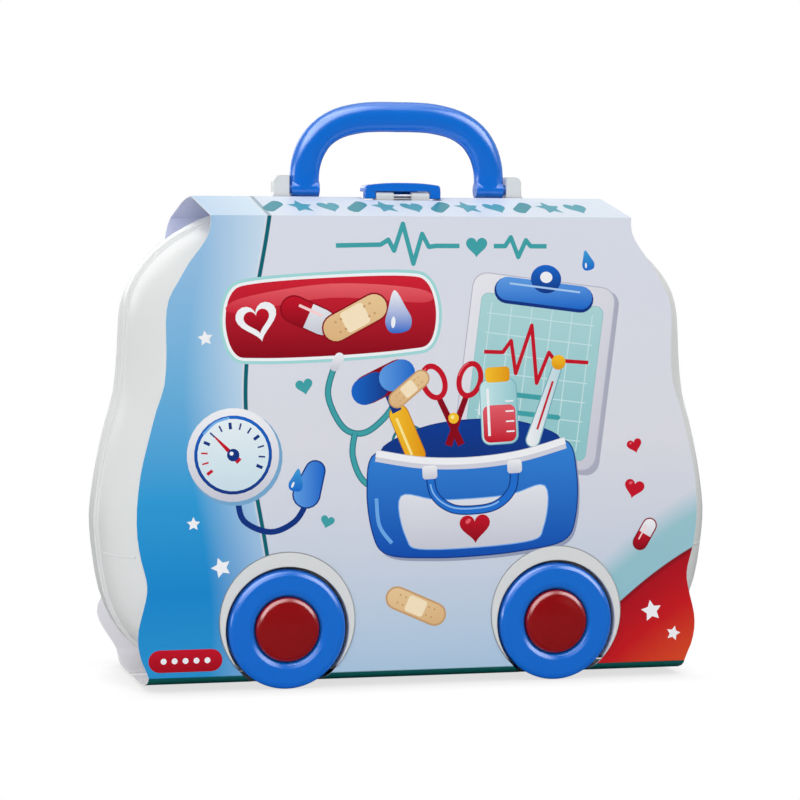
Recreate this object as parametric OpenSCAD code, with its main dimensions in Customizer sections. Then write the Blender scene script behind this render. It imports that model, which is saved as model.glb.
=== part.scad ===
// Van-shaped toy carry case on wheels, standing upright in its card sleeve.
// Millimetres. +Z is up, X runs along the long face and Y through the depth.
// The seam between the two halves is the plane y = 0 and the floor is z = 0.
// The lid is the half at negative Y, the base is the half at positive Y.

/* [Case] */
// Width across the widest part of the seam
case_width = 323; // [260:1:400]
// Height of the top of the shells above the floor
case_top = 244.5; // [200:0.5:300]
// Depth of one half, from the seam to its flat face
half_depth = 51; // [46:1:70]
// Height of the bottom of the shells above the floor
case_bottom = 3; // [2.8:0.1:5]
// Wall of the shells
wall = 2.2; // [1.6:0.1:3]
// How far the sides draw in from the seam to the flat face
side_inset = 17.3; // [10:0.1:22]
// Width of the raised rim band beside the seam
band_w = 8.5; // [5:0.5:12]
// How far the rim band stands out
band_proud = 0.9; // [0.4:0.1:1.5]

/* [Wheels] */
// Diameter of a wheel
wheel_d = 60.2; // [50:0.1:64]
// Width of a wheel
wheel_w = 11; // [9:0.5:14]
// Distance between the two wheels of one half
wheel_gap = 140.6; // [120:0.1:150]
// How far a wheel stands out of the flat face
wheel_proud = 2; // [1:0.5:4]
// Diameter of a hub cap
cap_d = 32.4; // [24:0.2:40]
// Diameter of an axle
axle_d = 5; // [4:0.5:6]
// Diameter of the round arch face
arch_d = 68.8; // [66:0.2:80]
// How much higher the arch's centre lies than the wheel's
arch_lift = 4.3; // [2:0.1:6]

/* [Handle] */
// Width of the handle across its legs
handle_w = 116; // [90:1:150]
// Height of the handle above its pivot
handle_h = 45.4; // [35:0.1:60]
// Width of the grip, seen from the front
grip_w = 15.6; // [12:0.1:18]
// Thickness of the grip, seen from the side
grip_t = 12; // [10:0.5:16]
// Height of the pivot above the top of the shells
pivot_lift = 6.9; // [6:0.1:10]
// Distance of the pivot behind the seam
pivot_y = 5.5; // [5:0.1:9]
// Diameter of the pivot pins
pivot_d = 5; // [3:0.5:6]

/* [Latch] */
// Width of the latch tab
latch_w = 40.6; // [34:0.2:50]
// Thickness of the latch tab
latch_t = 4.4; // [3:0.1:6]
// Diameter of the latch pin
latch_pin_d = 2; // [1.5:0.1:2.4]

/* [Sleeve] */
// Thickness of the card
card_t = 0.5; // [0.3:0.1:0.8]
// Height of the sleeve's ridge above the top of the shells
ridge_lift = 2.7; // [2:0.1:5]
// Height of the fold between roof and panel, below the ridge
roof_drop = 10.4; // [9:0.1:14]
// Height of the lower fold above the floor
lower_fold = 8; // [6:0.5:12]

/* [Insert] */
// How far the insert's table stands into the lid
table_rise = 8; // [4:0.5:12]
// Depth of the compartments behind the seam
pocket_depth = 18; // [14:1:19]
// Wall of the insert, the rack and the side trays
tray_wall = 1.6; // [1.2:0.1:2]

/* [Side trays] */
// Height of a side tray's opening, along Z
tray_len = 106; // [80:1:110]
// Depth of a side tray, along Y
tray_deep = 13; // [10:0.5:14]
// How far a side tray reaches into the case
tray_reach = 64; // [50:1:64]

/* [Hidden] */

$fn = 64;
over = 0.1;          // how far a cutting shape runs past a face
gap = 0.3;           // gap between parts that move past each other
fit = 0.05;          // radial clearance of a pin that turns
near_fit = 0.02;     // radial clearance of a pin that is pressed in

white = [0.95, 0.95, 0.96];
blue = [0.05, 0.36, 0.82];
red = [0.75, 0.03, 0.08];
yellow = [0.98, 0.75, 0.08];
teal = [0.45, 0.80, 0.80, 0.6];
steel = [0.7, 0.7, 0.72];
card = [0.72, 0.82, 0.94];

half_w = case_width / 2;
case_h = case_top - case_bottom;
case_mid = case_bottom + case_h / 2;

// ---- outline of the seam ----
// Right half of the seam from the top middle to the bottom middle,
// as shares of the half width and of the height above the case bottom.
EDGE = [
    [0, 1], [0.20, 0.9995], [0.384, 0.998], [0.52, 0.989], [0.619, 0.971], [0.697, 0.947],
    [0.774, 0.915], [0.842, 0.870], [0.885, 0.822], [0.904, 0.766], [0.910, 0.683],
    [0.923, 0.596], [0.950, 0.530], [0.978, 0.447], [0.997, 0.364], [1, 0.315],
    [0.991, 0.252], [0.971, 0.178], [0.929, 0.110], [0.861, 0.056], [0.768, 0.019],
    [0.656, 0.0034], [0.495, 0.0011], [0.25, 0.0003], [0, 0]
];
edge_steps = 2;      // points made between two of these

// A smooth curve through a list of points, with steps points to each stretch.
function curve_at(a, b, c, d, u) = 0.5 * (2 * b + (c - a) * u
    + (2 * a - 5 * b + 4 * c - d) * u * u + (3 * b - a - 3 * c + d) * u * u * u);
function smooth(p, steps) = [
    for (i = [0 : len(p) - 2], k = [0 : steps - 1])
        curve_at(p[max(i - 1, 0)], p[i], p[i + 1], p[min(i + 2, len(p) - 1)], k / steps),
    p[len(p) - 1]
];
half_edge = [for (p = smooth(EDGE, edge_steps)) [p[0] * half_w, case_bottom + p[1] * case_h]];
edge_n = len(half_edge);
// The whole outline, counter-clockwise when X runs right and Z runs up.
outline = concat(
    [for (i = [edge_n - 1 : -1 : 0]) half_edge[i]],
    [for (i = [1 : edge_n - 2]) [-half_edge[i][0], half_edge[i][1]]]
);

function unit(v) = v / norm(v);
function inward(p, i, by) =
    let (n = len(p), t = unit(p[(i + 1) % n] - p[(i + n - 1) % n]))
    p[i] + by * [-t[1], t[0]];
function inset(p, by) = [for (i = [0 : len(p) - 1]) inward(p, i, by)];

// ---- how the shell draws in with depth ----
top_inset = 8.5;
bottom_inset = 8;
side_power = 3.2;
function share(y) = y / half_depth;
function side_at(y) = 1 - side_inset * pow(max(share(y), 0), side_power) / half_w;
function top_at(y) = 1 - top_inset * max(share(y), 0) / (case_h / 2);
function bottom_at(y) = 1 - bottom_inset * pow(max(share(y), 0), 2) / (case_h / 2);
function drawn_in(p, y) = [
    p[0] * side_at(y),
    case_mid + (p[1] - case_mid) * (p[1] > case_mid ? top_at(y) : bottom_at(y))
];
function section(y, by) = [for (p = inset(outline, by)) drawn_in(p, y)];
function ring_at(y, by) = [for (p = section(y, by)) [p[0], y, p[1]]];

// A closed solid through a stack of rings. The rings turn clockwise when seen
// against the way they are stacked, or the other way when flip is true.
module loft(rings, flip = false) {
    n = len(rings[0]);
    m = len(rings);
    points = [for (r = rings) each r];
    sides = [
        for (j = [0 : m - 2], i = [0 : n - 1])
            let (a = j * n + i, b = j * n + (i + 1) % n, c = a + n, d = b + n)
            each flip ? [[a, d, b], [a, c, d]] : [[a, b, d], [a, d, c]]
    ];
    ahead = [for (i = [0 : n - 1]) i];
    back = [for (i = [n - 1 : -1 : 0]) i];
    near_cap = flip ? ahead : back;
    far_cap = [for (i = flip ? back : ahead) (m - 1) * n + i];
    polyhedron(points, concat(sides, [near_cap], [far_cap]), convexity = 6);
}

// A flat shape in X and Z that fills y0 to y1.
module slab_y(points, y0, y1) {
    translate([0, y1, 0]) rotate([90, 0, 0]) linear_extrude(y1 - y0) polygon(points);
}
// A flat plate of the seam's outline, drawn in by a distance, from y0 to y1.
module plate(y0, y1, by) {
    slab_y(inset(outline, by), y0, y1);
}
// Corners of a rectangle in X and Z with rounded corners.
function rounded(x0, x1, z0, z1, r) = [
    for (c = [[x1 - r, z0 + r, -90], [x1 - r, z1 - r, 0], [x0 + r, z1 - r, 90], [x0 + r, z0 + r, 180]],
         k = [0 : 6])
        [c[0] + r * cos(c[2] + 15 * k), c[1] + r * sin(c[2] + 15 * k)]
];
// Corners of a circle's arc, with its centre, radius and two angles.
function arc(cx, cz, r, a0, a1, steps) = [
    for (k = [0 : steps]) let (a = a0 + (a1 - a0) * k / steps) [cx + r * cos(a), cz + r * sin(a)]
];

// A round bar along Y from y0 to y1.
module bar_y(x, z, r, y0, y1) {
    translate([x, y0, z]) rotate([-90, 0, 0]) cylinder(r = r, h = y1 - y0);
}
// A round bar along X from x0 to x1.
module bar_x(y, z, r, x0, x1) {
    translate([x0, y, z]) rotate([0, 90, 0]) cylinder(r = r, h = x1 - x0);
}
// A box between two corners.
module block(a, b) {
    translate(a) cube(b - a);
}

// ---- shell of one half, with its face at +Y ----
rim_y = gap / 2;
edge_round = 1.4;
OUTER = [
    [rim_y - 2, 0.4], [rim_y, 0.4], [rim_y + 0.5, 0], [band_w - 0.6, 0], [band_w, band_proud],
    [half_depth * 0.42, band_proud], [half_depth * 0.6, band_proud * 0.8],
    [half_depth * 0.74, band_proud * 0.6], [half_depth * 0.86, band_proud * 0.4],
    [half_depth * 0.95, 0.2], [half_depth - 0.5, 0.4], [half_depth, edge_round]
];
inner_face = half_depth - wall;
INNER_REST = [
    [half_depth * 0.4, wall + band_proud], [half_depth * 0.62, wall + band_proud],
    [half_depth * 0.8, wall + 0.6], [half_depth * 0.9, wall + 0.3], [inner_face, wall + 0.8]
];
// The base's rim has a rebate in which the insert's flange lies.
seat_y = 2.75;
seat_by = wall - 0.9;
INNER_LID = concat([[rim_y - 4, wall]], INNER_REST);
INNER_BASE = concat([[rim_y - 4, seat_by], [seat_y, seat_by], [seat_y, wall]], INNER_REST);
wheel_x = wheel_gap / 2;
wheel_z = wheel_d / 2;
arch_z = wheel_z + arch_lift;
arch_proud = 1.5;
arch_foot = case_bottom + 3.5;
well_r = wheel_d / 2 + 1.5;
wheel_out = half_depth + wheel_proud;
wheel_in = wheel_out - wheel_w;
well_floor = wheel_in - 2;
boss_r = 6;
boss_face = wheel_in - gap;
boss_back = well_floor - 8;
axle_r = axle_d / 2;

module shell_body(inner) {
    difference() {
        union() {
            loft([for (o = OUTER) ring_at(o[0], o[1])]);
            for (side = [-1, 1]) intersection() {
                bar_y(side * wheel_x, arch_z, arch_d / 2, half_depth - 6, half_depth + arch_proud);
                block([-half_w, 0, arch_foot], [half_w, half_depth + 10, case_top]);
            }
        }
        difference() {
            loft([for (o = inner) ring_at(o[0], o[1])]);
            for (side = [-1, 1]) {
                bar_y(side * wheel_x, wheel_z, well_r + wall, well_floor - wall, half_depth);
                bar_y(side * wheel_x, arch_z, arch_d / 2 + 0.2, half_depth - 4.5, half_depth);
                bar_y(side * wheel_x, wheel_z, boss_r, boss_back, half_depth);
            }
        }
        for (side = [-1, 1]) difference() {
            bar_y(side * wheel_x, wheel_z, well_r, well_floor, half_depth + 10);
            bar_y(side * wheel_x, wheel_z, boss_r, well_floor - 1, boss_face);
        }
        for (side = [-1, 1])
            bar_y(side * wheel_x, wheel_z, axle_r + near_fit, boss_back + 1.5, half_depth);
        // flat face of the rim
        block([-half_w - 20, -10, -20], [half_w + 20, rim_y, case_top + 20]);
    }
}

// ---- hinge along the bottom of the seam ----
hinge_z = 2.6;
knuckle_r = 2.2;
hinge_pin_r = 1;
hinge_x = 60;
knuckle_w = 12;
mid_knuckle_w = 15.4;
leaf_y = 5;
hinge_half = mid_knuckle_w / 2 + gap + knuckle_w;
leaf_z = case_bottom + wall;

// One knuckle with its leaf, from x0 to x1, towards side_y.
module knuckle(x0, x1, side_y) {
    bar_x(0, hinge_z, knuckle_r, x0, x1);
    if (side_y > 0) block([x0, 0, hinge_z], [x1, leaf_y, leaf_z]);
    else block([x0, -leaf_y, hinge_z], [x1, 0, leaf_z]);
}
// Room for a knuckle of the other half.
module knuckle_room(x0, x1) {
    block([x0 - gap, -knuckle_r - 0.6, hinge_z - 3], [x1 + gap, knuckle_r + 0.6, leaf_z + 0.6]);
}
module mid_knuckles(side_y) {
    for (x = [-hinge_x, hinge_x]) knuckle(x - mid_knuckle_w / 2, x + mid_knuckle_w / 2, side_y);
}
module outer_knuckles(side_y) {
    for (x = [-hinge_x, hinge_x]) {
        knuckle(x - hinge_half, x - hinge_half + knuckle_w, side_y);
        knuckle(x + hinge_half - knuckle_w, x + hinge_half, side_y);
    }
}
// Bore for the hinge pins, wider where the pin turns.
module hinge_bores(mid, outer) {
    for (x = [-hinge_x, hinge_x]) {
        bar_x(0, hinge_z, hinge_pin_r + mid, x - mid_knuckle_w / 2 - gap / 2, x + mid_knuckle_w / 2 + gap / 2);
        bar_x(0, hinge_z, hinge_pin_r + outer, x - hinge_half - 1, x - mid_knuckle_w / 2 - gap / 2);
        bar_x(0, hinge_z, hinge_pin_r + outer, x + mid_knuckle_w / 2 + gap / 2, x + hinge_half + 1);
    }
}
// Small notches in the rims at the ends of the hinge pins.
module pin_ends() {
    for (x = [-hinge_x, hinge_x], x0 = [x - hinge_half - 2, x + hinge_half])
        block([x0, -1.6, hinge_z - 3], [x0 + 2, 1.6, hinge_z + 1.6]);
}
module hinge_pin(x) {
    color(steel) bar_x(0, hinge_z, hinge_pin_r, x - hinge_half, x + hinge_half);
}
module hinge_pin_left() { hinge_pin(-hinge_x); }
module hinge_pin_right() { hinge_pin(hinge_x); }

// ---- handle ears and the latch's catch ----
pivot_z = case_top + pivot_lift;
pivot_r = pivot_d / 2;
leg_out = handle_w / 2 - 0.6;
ear_in = leg_out + 0.9;
ear_w = 8;
ear_top = pivot_z + 6.8;
ear_y0 = pivot_y - 4.4;
ear_y1 = pivot_y + 4.4;
ear_foot = case_top - 1.5;
pin_reach = 6;

module right_ear() {
    x0 = ear_in;
    x1 = ear_in + ear_w;
    difference() {
        union() {
            slab_y(concat(
                [[x0, ear_foot], [x1 + 2.4, ear_foot]],
                arc(x1 + 3.4, case_top + 5.2, 3.4, -107, -180, 6),
                arc(x1 - 3.5, ear_top - 3.5, 3.5, 0, 90, 6),
                [[x0, ear_top]]), ear_y0, ear_y1);
            block([x0, seat_y + 0.3, ear_foot - 2.7], [x1 + 2.4, ear_y1, ear_foot + 0.5]);
        }
        bar_x(pivot_y, pivot_z, pivot_r + fit, x0 - 1, x0 + pin_reach + 0.6);
    }
}

catch_w = 24;
catch_y0 = 8;
catch_y1 = 12;
catch_top = case_top + 2;

// ---- side trays in the base ----
tray_y0 = pocket_depth + 2;
tray_y1 = tray_y0 + tray_deep;
tray_z0 = case_bottom + 59;
tray_z1 = tray_z0 + tray_len;
tray_x0 = half_w - 5.5 - tray_reach;
tray_inset = 0.9;       // how far a tray's end lies inside the wall's face
run_clear = 0.4;
runner_low = half_w * 0.83;
runner_high = half_w * 0.75;

module right_tray_slot() {
    block([tray_x0 + 24, tray_y0 - run_clear, tray_z0 - run_clear],
          [half_w + 5, tray_y1 + run_clear, tray_z1 + run_clear]);
}
// Two angled runners on the base's face, below and above a side tray.
module right_tray_runners() {
    foot_y = tray_y1 + run_clear;
    z0 = tray_z0 - run_clear;
    z1 = tray_z1 + run_clear;
    block([tray_x0, tray_y0 - 1, z0 - tray_wall], [runner_low, inner_face + 0.5, z0]);
    block([tray_x0, foot_y, z0 - tray_wall], [runner_low, foot_y + tray_wall, z0 + 5]);
    block([tray_x0, tray_y0 - 1, z1], [runner_high, inner_face + 0.5, z1 + tray_wall]);
    block([tray_x0, foot_y, z1 - 5], [runner_high, foot_y + tray_wall, z1 + tray_wall]);
}
// A side tray's block, trimmed at its outer end to the curve of the case.
module tray_form(by, y0) {
    intersection() {
        block([tray_x0 + by, y0, tray_z0 + by], [half_w, tray_y1 - by, tray_z1 - by]);
        loft([for (y = [tray_y0 - 6, tray_y0, (tray_y0 + tray_y1) / 2, tray_y1, tray_y1 + 3])
            ring_at(y, band_proud * 0.8 + tray_inset + by)]);
    }
}
module right_side_tray() {
    color(teal) {
        difference() {
            tray_form(0, tray_y0);
            tray_form(tray_wall, tray_y0 - 3);
        }
        // stop that meets the case wall when the tray is drawn out
        block([tray_x0, tray_y1 - tray_wall, tray_z0 + 12],
              [tray_x0 + tray_wall, tray_y1 + 2.4, tray_z0 + 60]);
    }
}
module side_tray_right() { right_side_tray(); }
module side_tray_left() { mirror([1, 0, 0]) right_side_tray(); }

module base_shell() {
    color(white) difference() {
        union() {
            difference() {
                shell_body(INNER_BASE);
                for (x = [-hinge_x, hinge_x])
                    knuckle_room(x - mid_knuckle_w / 2, x + mid_knuckle_w / 2);
                pin_ends();
                right_tray_slot();
                mirror([1, 0, 0]) right_tray_slot();
            }
            outer_knuckles(1);
            right_ear();
            mirror([1, 0, 0]) right_ear();
            block([-catch_w / 2, catch_y0, case_top - 4], [catch_w / 2, catch_y1, catch_top]);
            right_tray_runners();
            mirror([1, 0, 0]) right_tray_runners();
        }
        hinge_bores(near_fit, near_fit);
    }
}

// ---- latch on the lid ----
latch_pin_y = -5;
latch_pin_z = case_top + 3.4;
latch_pin_r = latch_pin_d / 2;
post_in = 4.8;
post_out = 14.2;
post_r = 1.95;
slab_z = latch_pin_z + post_r + gap;
tip_y = 12.8;

module lid_shell() {
    color(white) difference() {
        union() {
            difference() {
                mirror([0, 1, 0]) shell_body(INNER_LID);
                for (x = [-hinge_x, hinge_x]) {
                    knuckle_room(x - hinge_half, x - hinge_half + knuckle_w);
                    knuckle_room(x + hinge_half - knuckle_w, x + hinge_half);
                }
                pin_ends();
            }
            mid_knuckles(-1);
            for (x0 = [-post_out, post_in]) {
                x1 = x0 + post_out - post_in;
                block([x0, latch_pin_y - post_r, case_top - 3], [x1, latch_pin_y + post_r, latch_pin_z]);
                bar_x(latch_pin_y, latch_pin_z, post_r, x0, x1);
            }
        }
        hinge_bores(fit, fit);
        bar_x(latch_pin_y, latch_pin_z, latch_pin_r + near_fit, -post_out - 1, post_out + 1);
    }
}

module latch_pin() {
    color(steel)
        bar_x(latch_pin_y, latch_pin_z, latch_pin_r, -latch_w / 2 + 1.2, latch_w / 2 - 1.2);
}

module latch_tab() {
    half = latch_w / 2;
    tip_r = 27;
    tip_a = asin(half / tip_r);
    lug_z = latch_pin_z - 1.6;
    end_z = slab_z + latch_t - 1.3;
    color(blue) difference() {
        union() {
            // slab with a rounded back end and a domed top
            intersection() {
                translate([0, 0, slab_z]) linear_extrude(latch_t) polygon(concat(
                    [[-half + 0.8, -7], [half - 0.8, -7], [half, -6.2]],
                    [for (k = [6 : -1 : -6]) [tip_r * sin(tip_a * k / 6), tip_y - tip_r + tip_r * cos(tip_a * k / 6)]],
                    [[-half, -6.2]]));
                slab_y(concat(
                    [[-half - 1, slab_z - 1], [half + 1, slab_z - 1], [half + 1, end_z - 2.4]],
                    [for (k = [8 : -1 : -8]) let (u = k / 8)
                        [u * (half - 1.1), slab_z + latch_t - (slab_z + latch_t - end_z) * pow(abs(u), 2.6)]],
                    [[-half - 1, end_z - 2.4]]), -8, tip_y + 1);
            }
            // lugs outside the posts
            for (x0 = [-half + 0.1, post_out + gap])
                block([x0, -6.9, lug_z], [x0 + half - 0.1 - post_out - gap, -2.8, slab_z + 0.5]);
            // lip over the catch
            block([-catch_w / 2, catch_y1 - 3, catch_top + gap], [catch_w / 2, catch_y1 - 0.6, slab_z + 0.5]);
        }
        bar_x(latch_pin_y, latch_pin_z, latch_pin_r + fit, -half - 1, half + 1);
    }
}

// ---- carry handle: a swept arch with a pin at each foot ----
// Right half of the arch's middle line, from the foot to the top,
// as shares of the middle line's half width and height.
ARCH = [[1, 0], [1, 0.16], [0.985, 0.34], [0.93, 0.55], [0.82, 0.75], [0.64, 0.90], [0.40, 0.98], [0.18, 1], [0, 1]];
arch_half = leg_out - grip_w / 2;
arch_high = handle_h - grip_w / 2;
leg_t = 8.6;
right_arch = [for (p = smooth(ARCH, 3)) [p[0] * arch_half, p[1] * arch_high]];
arch_line = concat(right_arch, [for (i = [len(right_arch) - 2 : -1 : 0]) [-right_arch[i][0], right_arch[i][1]]]);
grip_sides = 20;
// The grip is thin at the pivots and full along the top.
function grip_depth(p) = leg_t + (grip_t - leg_t) * min(1, max(0, (p[1] - 7) / 16));
function arch_dir(i) = unit(arch_line[min(i + 1, len(arch_line) - 1)] - arch_line[max(i - 1, 0)]);
function soft_square(a, w, d) = let (c = cos(a), s = sin(a)) [
    w / 2 * sign(c) * pow(abs(c), 0.8), d / 2 * sign(s) * pow(abs(s), 0.8)];
function grip_ring(i) = let (p = arch_line[i], t = arch_dir(i), n = [t[1], -t[0]], d = grip_depth(p)) [
    for (k = [0 : grip_sides - 1]) let (q = soft_square(360 * k / grip_sides, grip_w, d))
        [p[0] + n[0] * q[0], pivot_y + q[1], pivot_z + p[1] + n[1] * q[0]]
];

module carry_handle() {
    foot_in = leg_out - grip_w + 0.4;
    color(blue) {
        loft([for (i = [0 : len(arch_line) - 1]) grip_ring(i)], flip = true);
        for (x0 = [foot_in, -leg_out + 0.6])
            bar_x(pivot_y, pivot_z, leg_t / 2, x0, x0 + grip_w - 1);
        bar_x(pivot_y, pivot_z, pivot_r, leg_out - 2, ear_in + pin_reach);
        bar_x(pivot_y, pivot_z, pivot_r, -ear_in - pin_reach, -leg_out + 2);
    }
}

// ---- wheels ----
// Half section of a wheel: radius, and distance from its inner face.
module wheel_section() {
    r = wheel_d / 2;
    w = wheel_w;
    hub_in = axle_r + fit;
    groove = cap_d / 2 + 0.6;
    web0 = w * 0.41;
    web1 = w * 0.64;
    polygon([
        [hub_in, 0], [boss_r, 0], [boss_r, web0], [groove + 1.6, web0], [groove + 1.6, 0],
        [r - 3, 0], [r - 1.4, 0.5], [r - 0.4, 1.5], [r, 3],
        [r, w - 3], [r - 0.4, w - 1.5], [r - 1.4, w - 0.5], [r - 3, w],
        [groove + 3, w], [groove + 1, w - 0.6], [groove, w - 1.8],
        [groove, web1], [boss_r, web1], [boss_r, w * 0.76], [hub_in, w * 0.76]
    ]);
}
// Half section of a hub cap, from the wheel's web outwards.
module cap_section() {
    r = cap_d / 2;
    seat = wheel_w * 0.64;
    top = wheel_w + 2;
    polygon([
        [r - 1.5, seat], [r, seat], [r, top - 3], [r - 0.6, top - 1.9], [r - 2, top - 1.2],
        [r * 0.6, top - 0.5], [r * 0.3, top - 0.1], [0, top],
        [0, top - 1.5], [r * 0.6, top - 2], [r - 2.6, top - 2.8], [r - 1.5, top - 3.6]
    ]);
}
// Turns a half section about a wheel's axis, outwards on the given side.
module on_axle(x, side_y) {
    translate([x, side_y * wheel_in, wheel_z])
        rotate([-90 * side_y, 0, 0]) rotate_extrude($fn = 96) children();
}
module wheel(x, side_y) {
    color(blue) on_axle(x, side_y) wheel_section();
}
module hub_cap(x, side_y) {
    color(red) on_axle(x, side_y) cap_section();
}
module axle(x, side_y) {
    head = wheel_w * 0.76 + gap;
    foot = boss_back + 1.6 - wheel_in;
    color(steel) on_axle(x, side_y) polygon([
        [0, foot], [axle_r - 0.4, foot], [axle_r, foot + 0.4], [axle_r, head],
        [axle_r + 1.9, head], [axle_r + 1.9, head + 0.8], [axle_r + 1.4, head + 1.2], [0, head + 1.2]
    ]);
}
module wheel_front_left() { wheel(-wheel_x, -1); }
module wheel_front_right() { wheel(wheel_x, -1); }
module wheel_rear_left() { wheel(-wheel_x, 1); }
module wheel_rear_right() { wheel(wheel_x, 1); }
module hub_cap_front_left() { hub_cap(-wheel_x, -1); }
module hub_cap_front_right() { hub_cap(wheel_x, -1); }
module hub_cap_rear_left() { hub_cap(-wheel_x, 1); }
module hub_cap_rear_right() { hub_cap(wheel_x, 1); }
module axle_front_left() { axle(-wheel_x, -1); }
module axle_front_right() { axle(wheel_x, -1); }
module axle_rear_left() { axle(-wheel_x, 1); }
module axle_rear_right() { axle(wheel_x, 1); }

// ---- card sleeve ----
card_gap = 0.3;
card_y = half_depth + card_gap + card_t;
ridge_z = case_top + ridge_lift;
fold_z = ridge_z - roof_drop;
floor_z = case_bottom - card_gap - 0.8;
// Outer face of the card from the ridge round to the hinge, as [y, z].
// The rear roof bows up between the ridge and its fold, the front roof is flat.
roof_bow = 2.4;
function card_roof(rear) = [for (k = [0 : (rear > 0 ? 1 : 6) : 6]) let (t = k / 6)
    [0.3 + t * (card_y - 0.3), ridge_z - roof_drop * t + rear * roof_bow * 4 * t * (1 - t)]];
CARD_LOW = [
    [card_y, lower_fold],
    [card_y - 1.6, lower_fold - 1.9], [card_y - 5, lower_fold - 3.6], [card_y - 11, floor_z + 0.9],
    [card_y - 18, floor_z + 0.2], [card_y - 26, floor_z], [3.4, floor_z]
];
function card_path(rear) = concat(card_roof(rear), CARD_LOW);
function path_normal(p, i) =
    let (a = i > 0 ? unit(p[i] - p[i - 1]) : unit(p[1] - p[0]),
         b = i < len(p) - 1 ? unit(p[i + 1] - p[i]) : a,
         n = unit([a[1] + b[1], -a[0] - b[0]]))
    n / (n * [a[1], -a[0]]);
function card_inner(p) = [for (i = [len(p) - 1 : -1 : 0]) p[i] + card_t * path_normal(p, i)];

// Half width of the card at heights above the floor: wavy die-cut edge.
CARD_EDGE = [
    [110, 260], [110, 247], [109.2, 237], [109.8, 229], [113.5, 222], [120, 213.5], [125.5, 204],
    [130.3, 195], [131.7, 184], [131.4, 169], [132.4, 153], [136.6, 140], [140.8, 124],
    [144.3, 109], [146.2, 92], [146, 78], [144, 66], [141.6, 57], [141.2, 50], [143.2, 41],
    [145.4, 32], [145.6, 24], [143.8, 16], [140.4, 8], [141, 2], [141, -4]
];
card_wide = half_w / 161.5;
card_high = case_top / 244.5;
// The rear card is cut wider near its lower corners and at its top fold.
function rear_flare(z) = 5.6 * exp(-pow((z - 30) / 13, 2)) + 4.4 * exp(-pow((z - 230) / 9, 2));
function card_edge(rear) = [
    for (p = smooth(CARD_EDGE, 2)) [p[0] * card_wide + rear * rear_flare(p[1]), p[1] * card_high]];
function card_outline(rear) = let (e = card_edge(rear))
    concat(e, [for (i = [len(e) - 1 : -1 : 0]) [-e[i][0], e[i][1]]]);
window_r = arch_d / 2 + 0.4;

// One half of the sleeve, at positive Y.
module sleeve_half(rear) {
    difference() {
        intersection() {
            rotate([90, 0, 90]) translate([0, 0, -half_w - 40]) linear_extrude(case_width + 80)
                polygon(concat(card_path(rear), card_inner(card_path(rear))));
            slab_y(card_outline(rear), -10, card_y + 10);
        }
        for (side = [-1, 1]) {
            bar_y(side * wheel_x, arch_z, window_r, half_depth - 3, card_y + 5);
            bar_y(side * wheel_x, wheel_z, well_r + 0.2, wheel_in - 2, card_y + 5);
            block([side * hinge_x - hinge_half - 1.5, -1, -5],
                  [side * hinge_x + hinge_half + 1.5, leaf_y + 3, case_bottom + 1]);
        }
    }
}
module base_sleeve() {
    color(card) difference() {
        sleeve_half(1);
        for (x0 = [leg_out - grip_w - 1.5, -ear_in - ear_w - 4])
            block([x0, -1, case_top - 2], [x0 + grip_w + ear_w + 6.4, ear_y1 + 1.5, ridge_z + 5]);
        block([-latch_w / 2 - 1, -1, case_top - 2], [latch_w / 2 + 1, tip_y + 2.5, ridge_z + 5]);
    }
}
module lid_sleeve() {
    color(card) difference() {
        mirror([0, 1, 0]) sleeve_half(0);
        block([-latch_w / 2 - 0.5, -9, case_top - 2], [latch_w / 2 + 0.5, 1, ridge_z + 5]);
    }
}

// ---- insert tray in the base ----
flange_by = seat_by + 0.1;
table_by = 11;
table_top = -table_rise;
inner_w = half_w - 43;
floor_in = pocket_depth - tray_wall;
disc_r = 15;
disc_y = 8;
// Compartments as [x0, x1, z0, z1, depth behind the seam].
LEFT_POCKET = [-inner_w, -5, 130, case_top - 30.5, pocket_depth];
RIGHT_POCKET = [5, inner_w, 130, case_top - 30.5, pocket_depth];
LOW_POCKET = [-inner_w, inner_w, 24, 122, pocket_depth];
DISC_POCKET = [-20, 20, 25.5, 50, disc_y + disc_r + tray_wall];
POCKETS = [LEFT_POCKET, RIGHT_POCKET, LOW_POCKET, DISC_POCKET];

module pocket(p, by, y0, y1) {
    slab_y(rounded(p[0] + by, p[1] - by, p[2] + by, p[3] - by, 8 - by), y0, y1);
}
module insert_tray() {
    t = tray_wall;
    color(blue) difference() {
        union() {
            slab_y(section(seat_y, flange_by), seat_y - t, seat_y);
            plate(table_top, seat_y - t / 2, table_by);
            for (p = POCKETS) pocket(p, -t, table_top + 0.2, p[4]);
        }
        difference() {
            plate(table_top + t, seat_y + 1, table_by + t);
            for (p = POCKETS) pocket(p, -t, table_top, p[4] + 1);
        }
        for (p = POCKETS) pocket(p, 0, table_top - 1, p[4] - t);
        for (x = [-hinge_x, hinge_x])
            block([x - hinge_half - 1, -1, 0], [x + hinge_half + 1, leaf_y, leaf_z + 0.4]);
    }
}
module floor_card_left() {
    color(card) pocket(LEFT_POCKET, 0.4, floor_in - card_t, floor_in);
}
module floor_card_right() {
    color(card) pocket(RIGHT_POCKET, 0.4, floor_in - card_t, floor_in);
}
lie_y = floor_in - card_t;   // tools lie on this plane in the upper compartments

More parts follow.
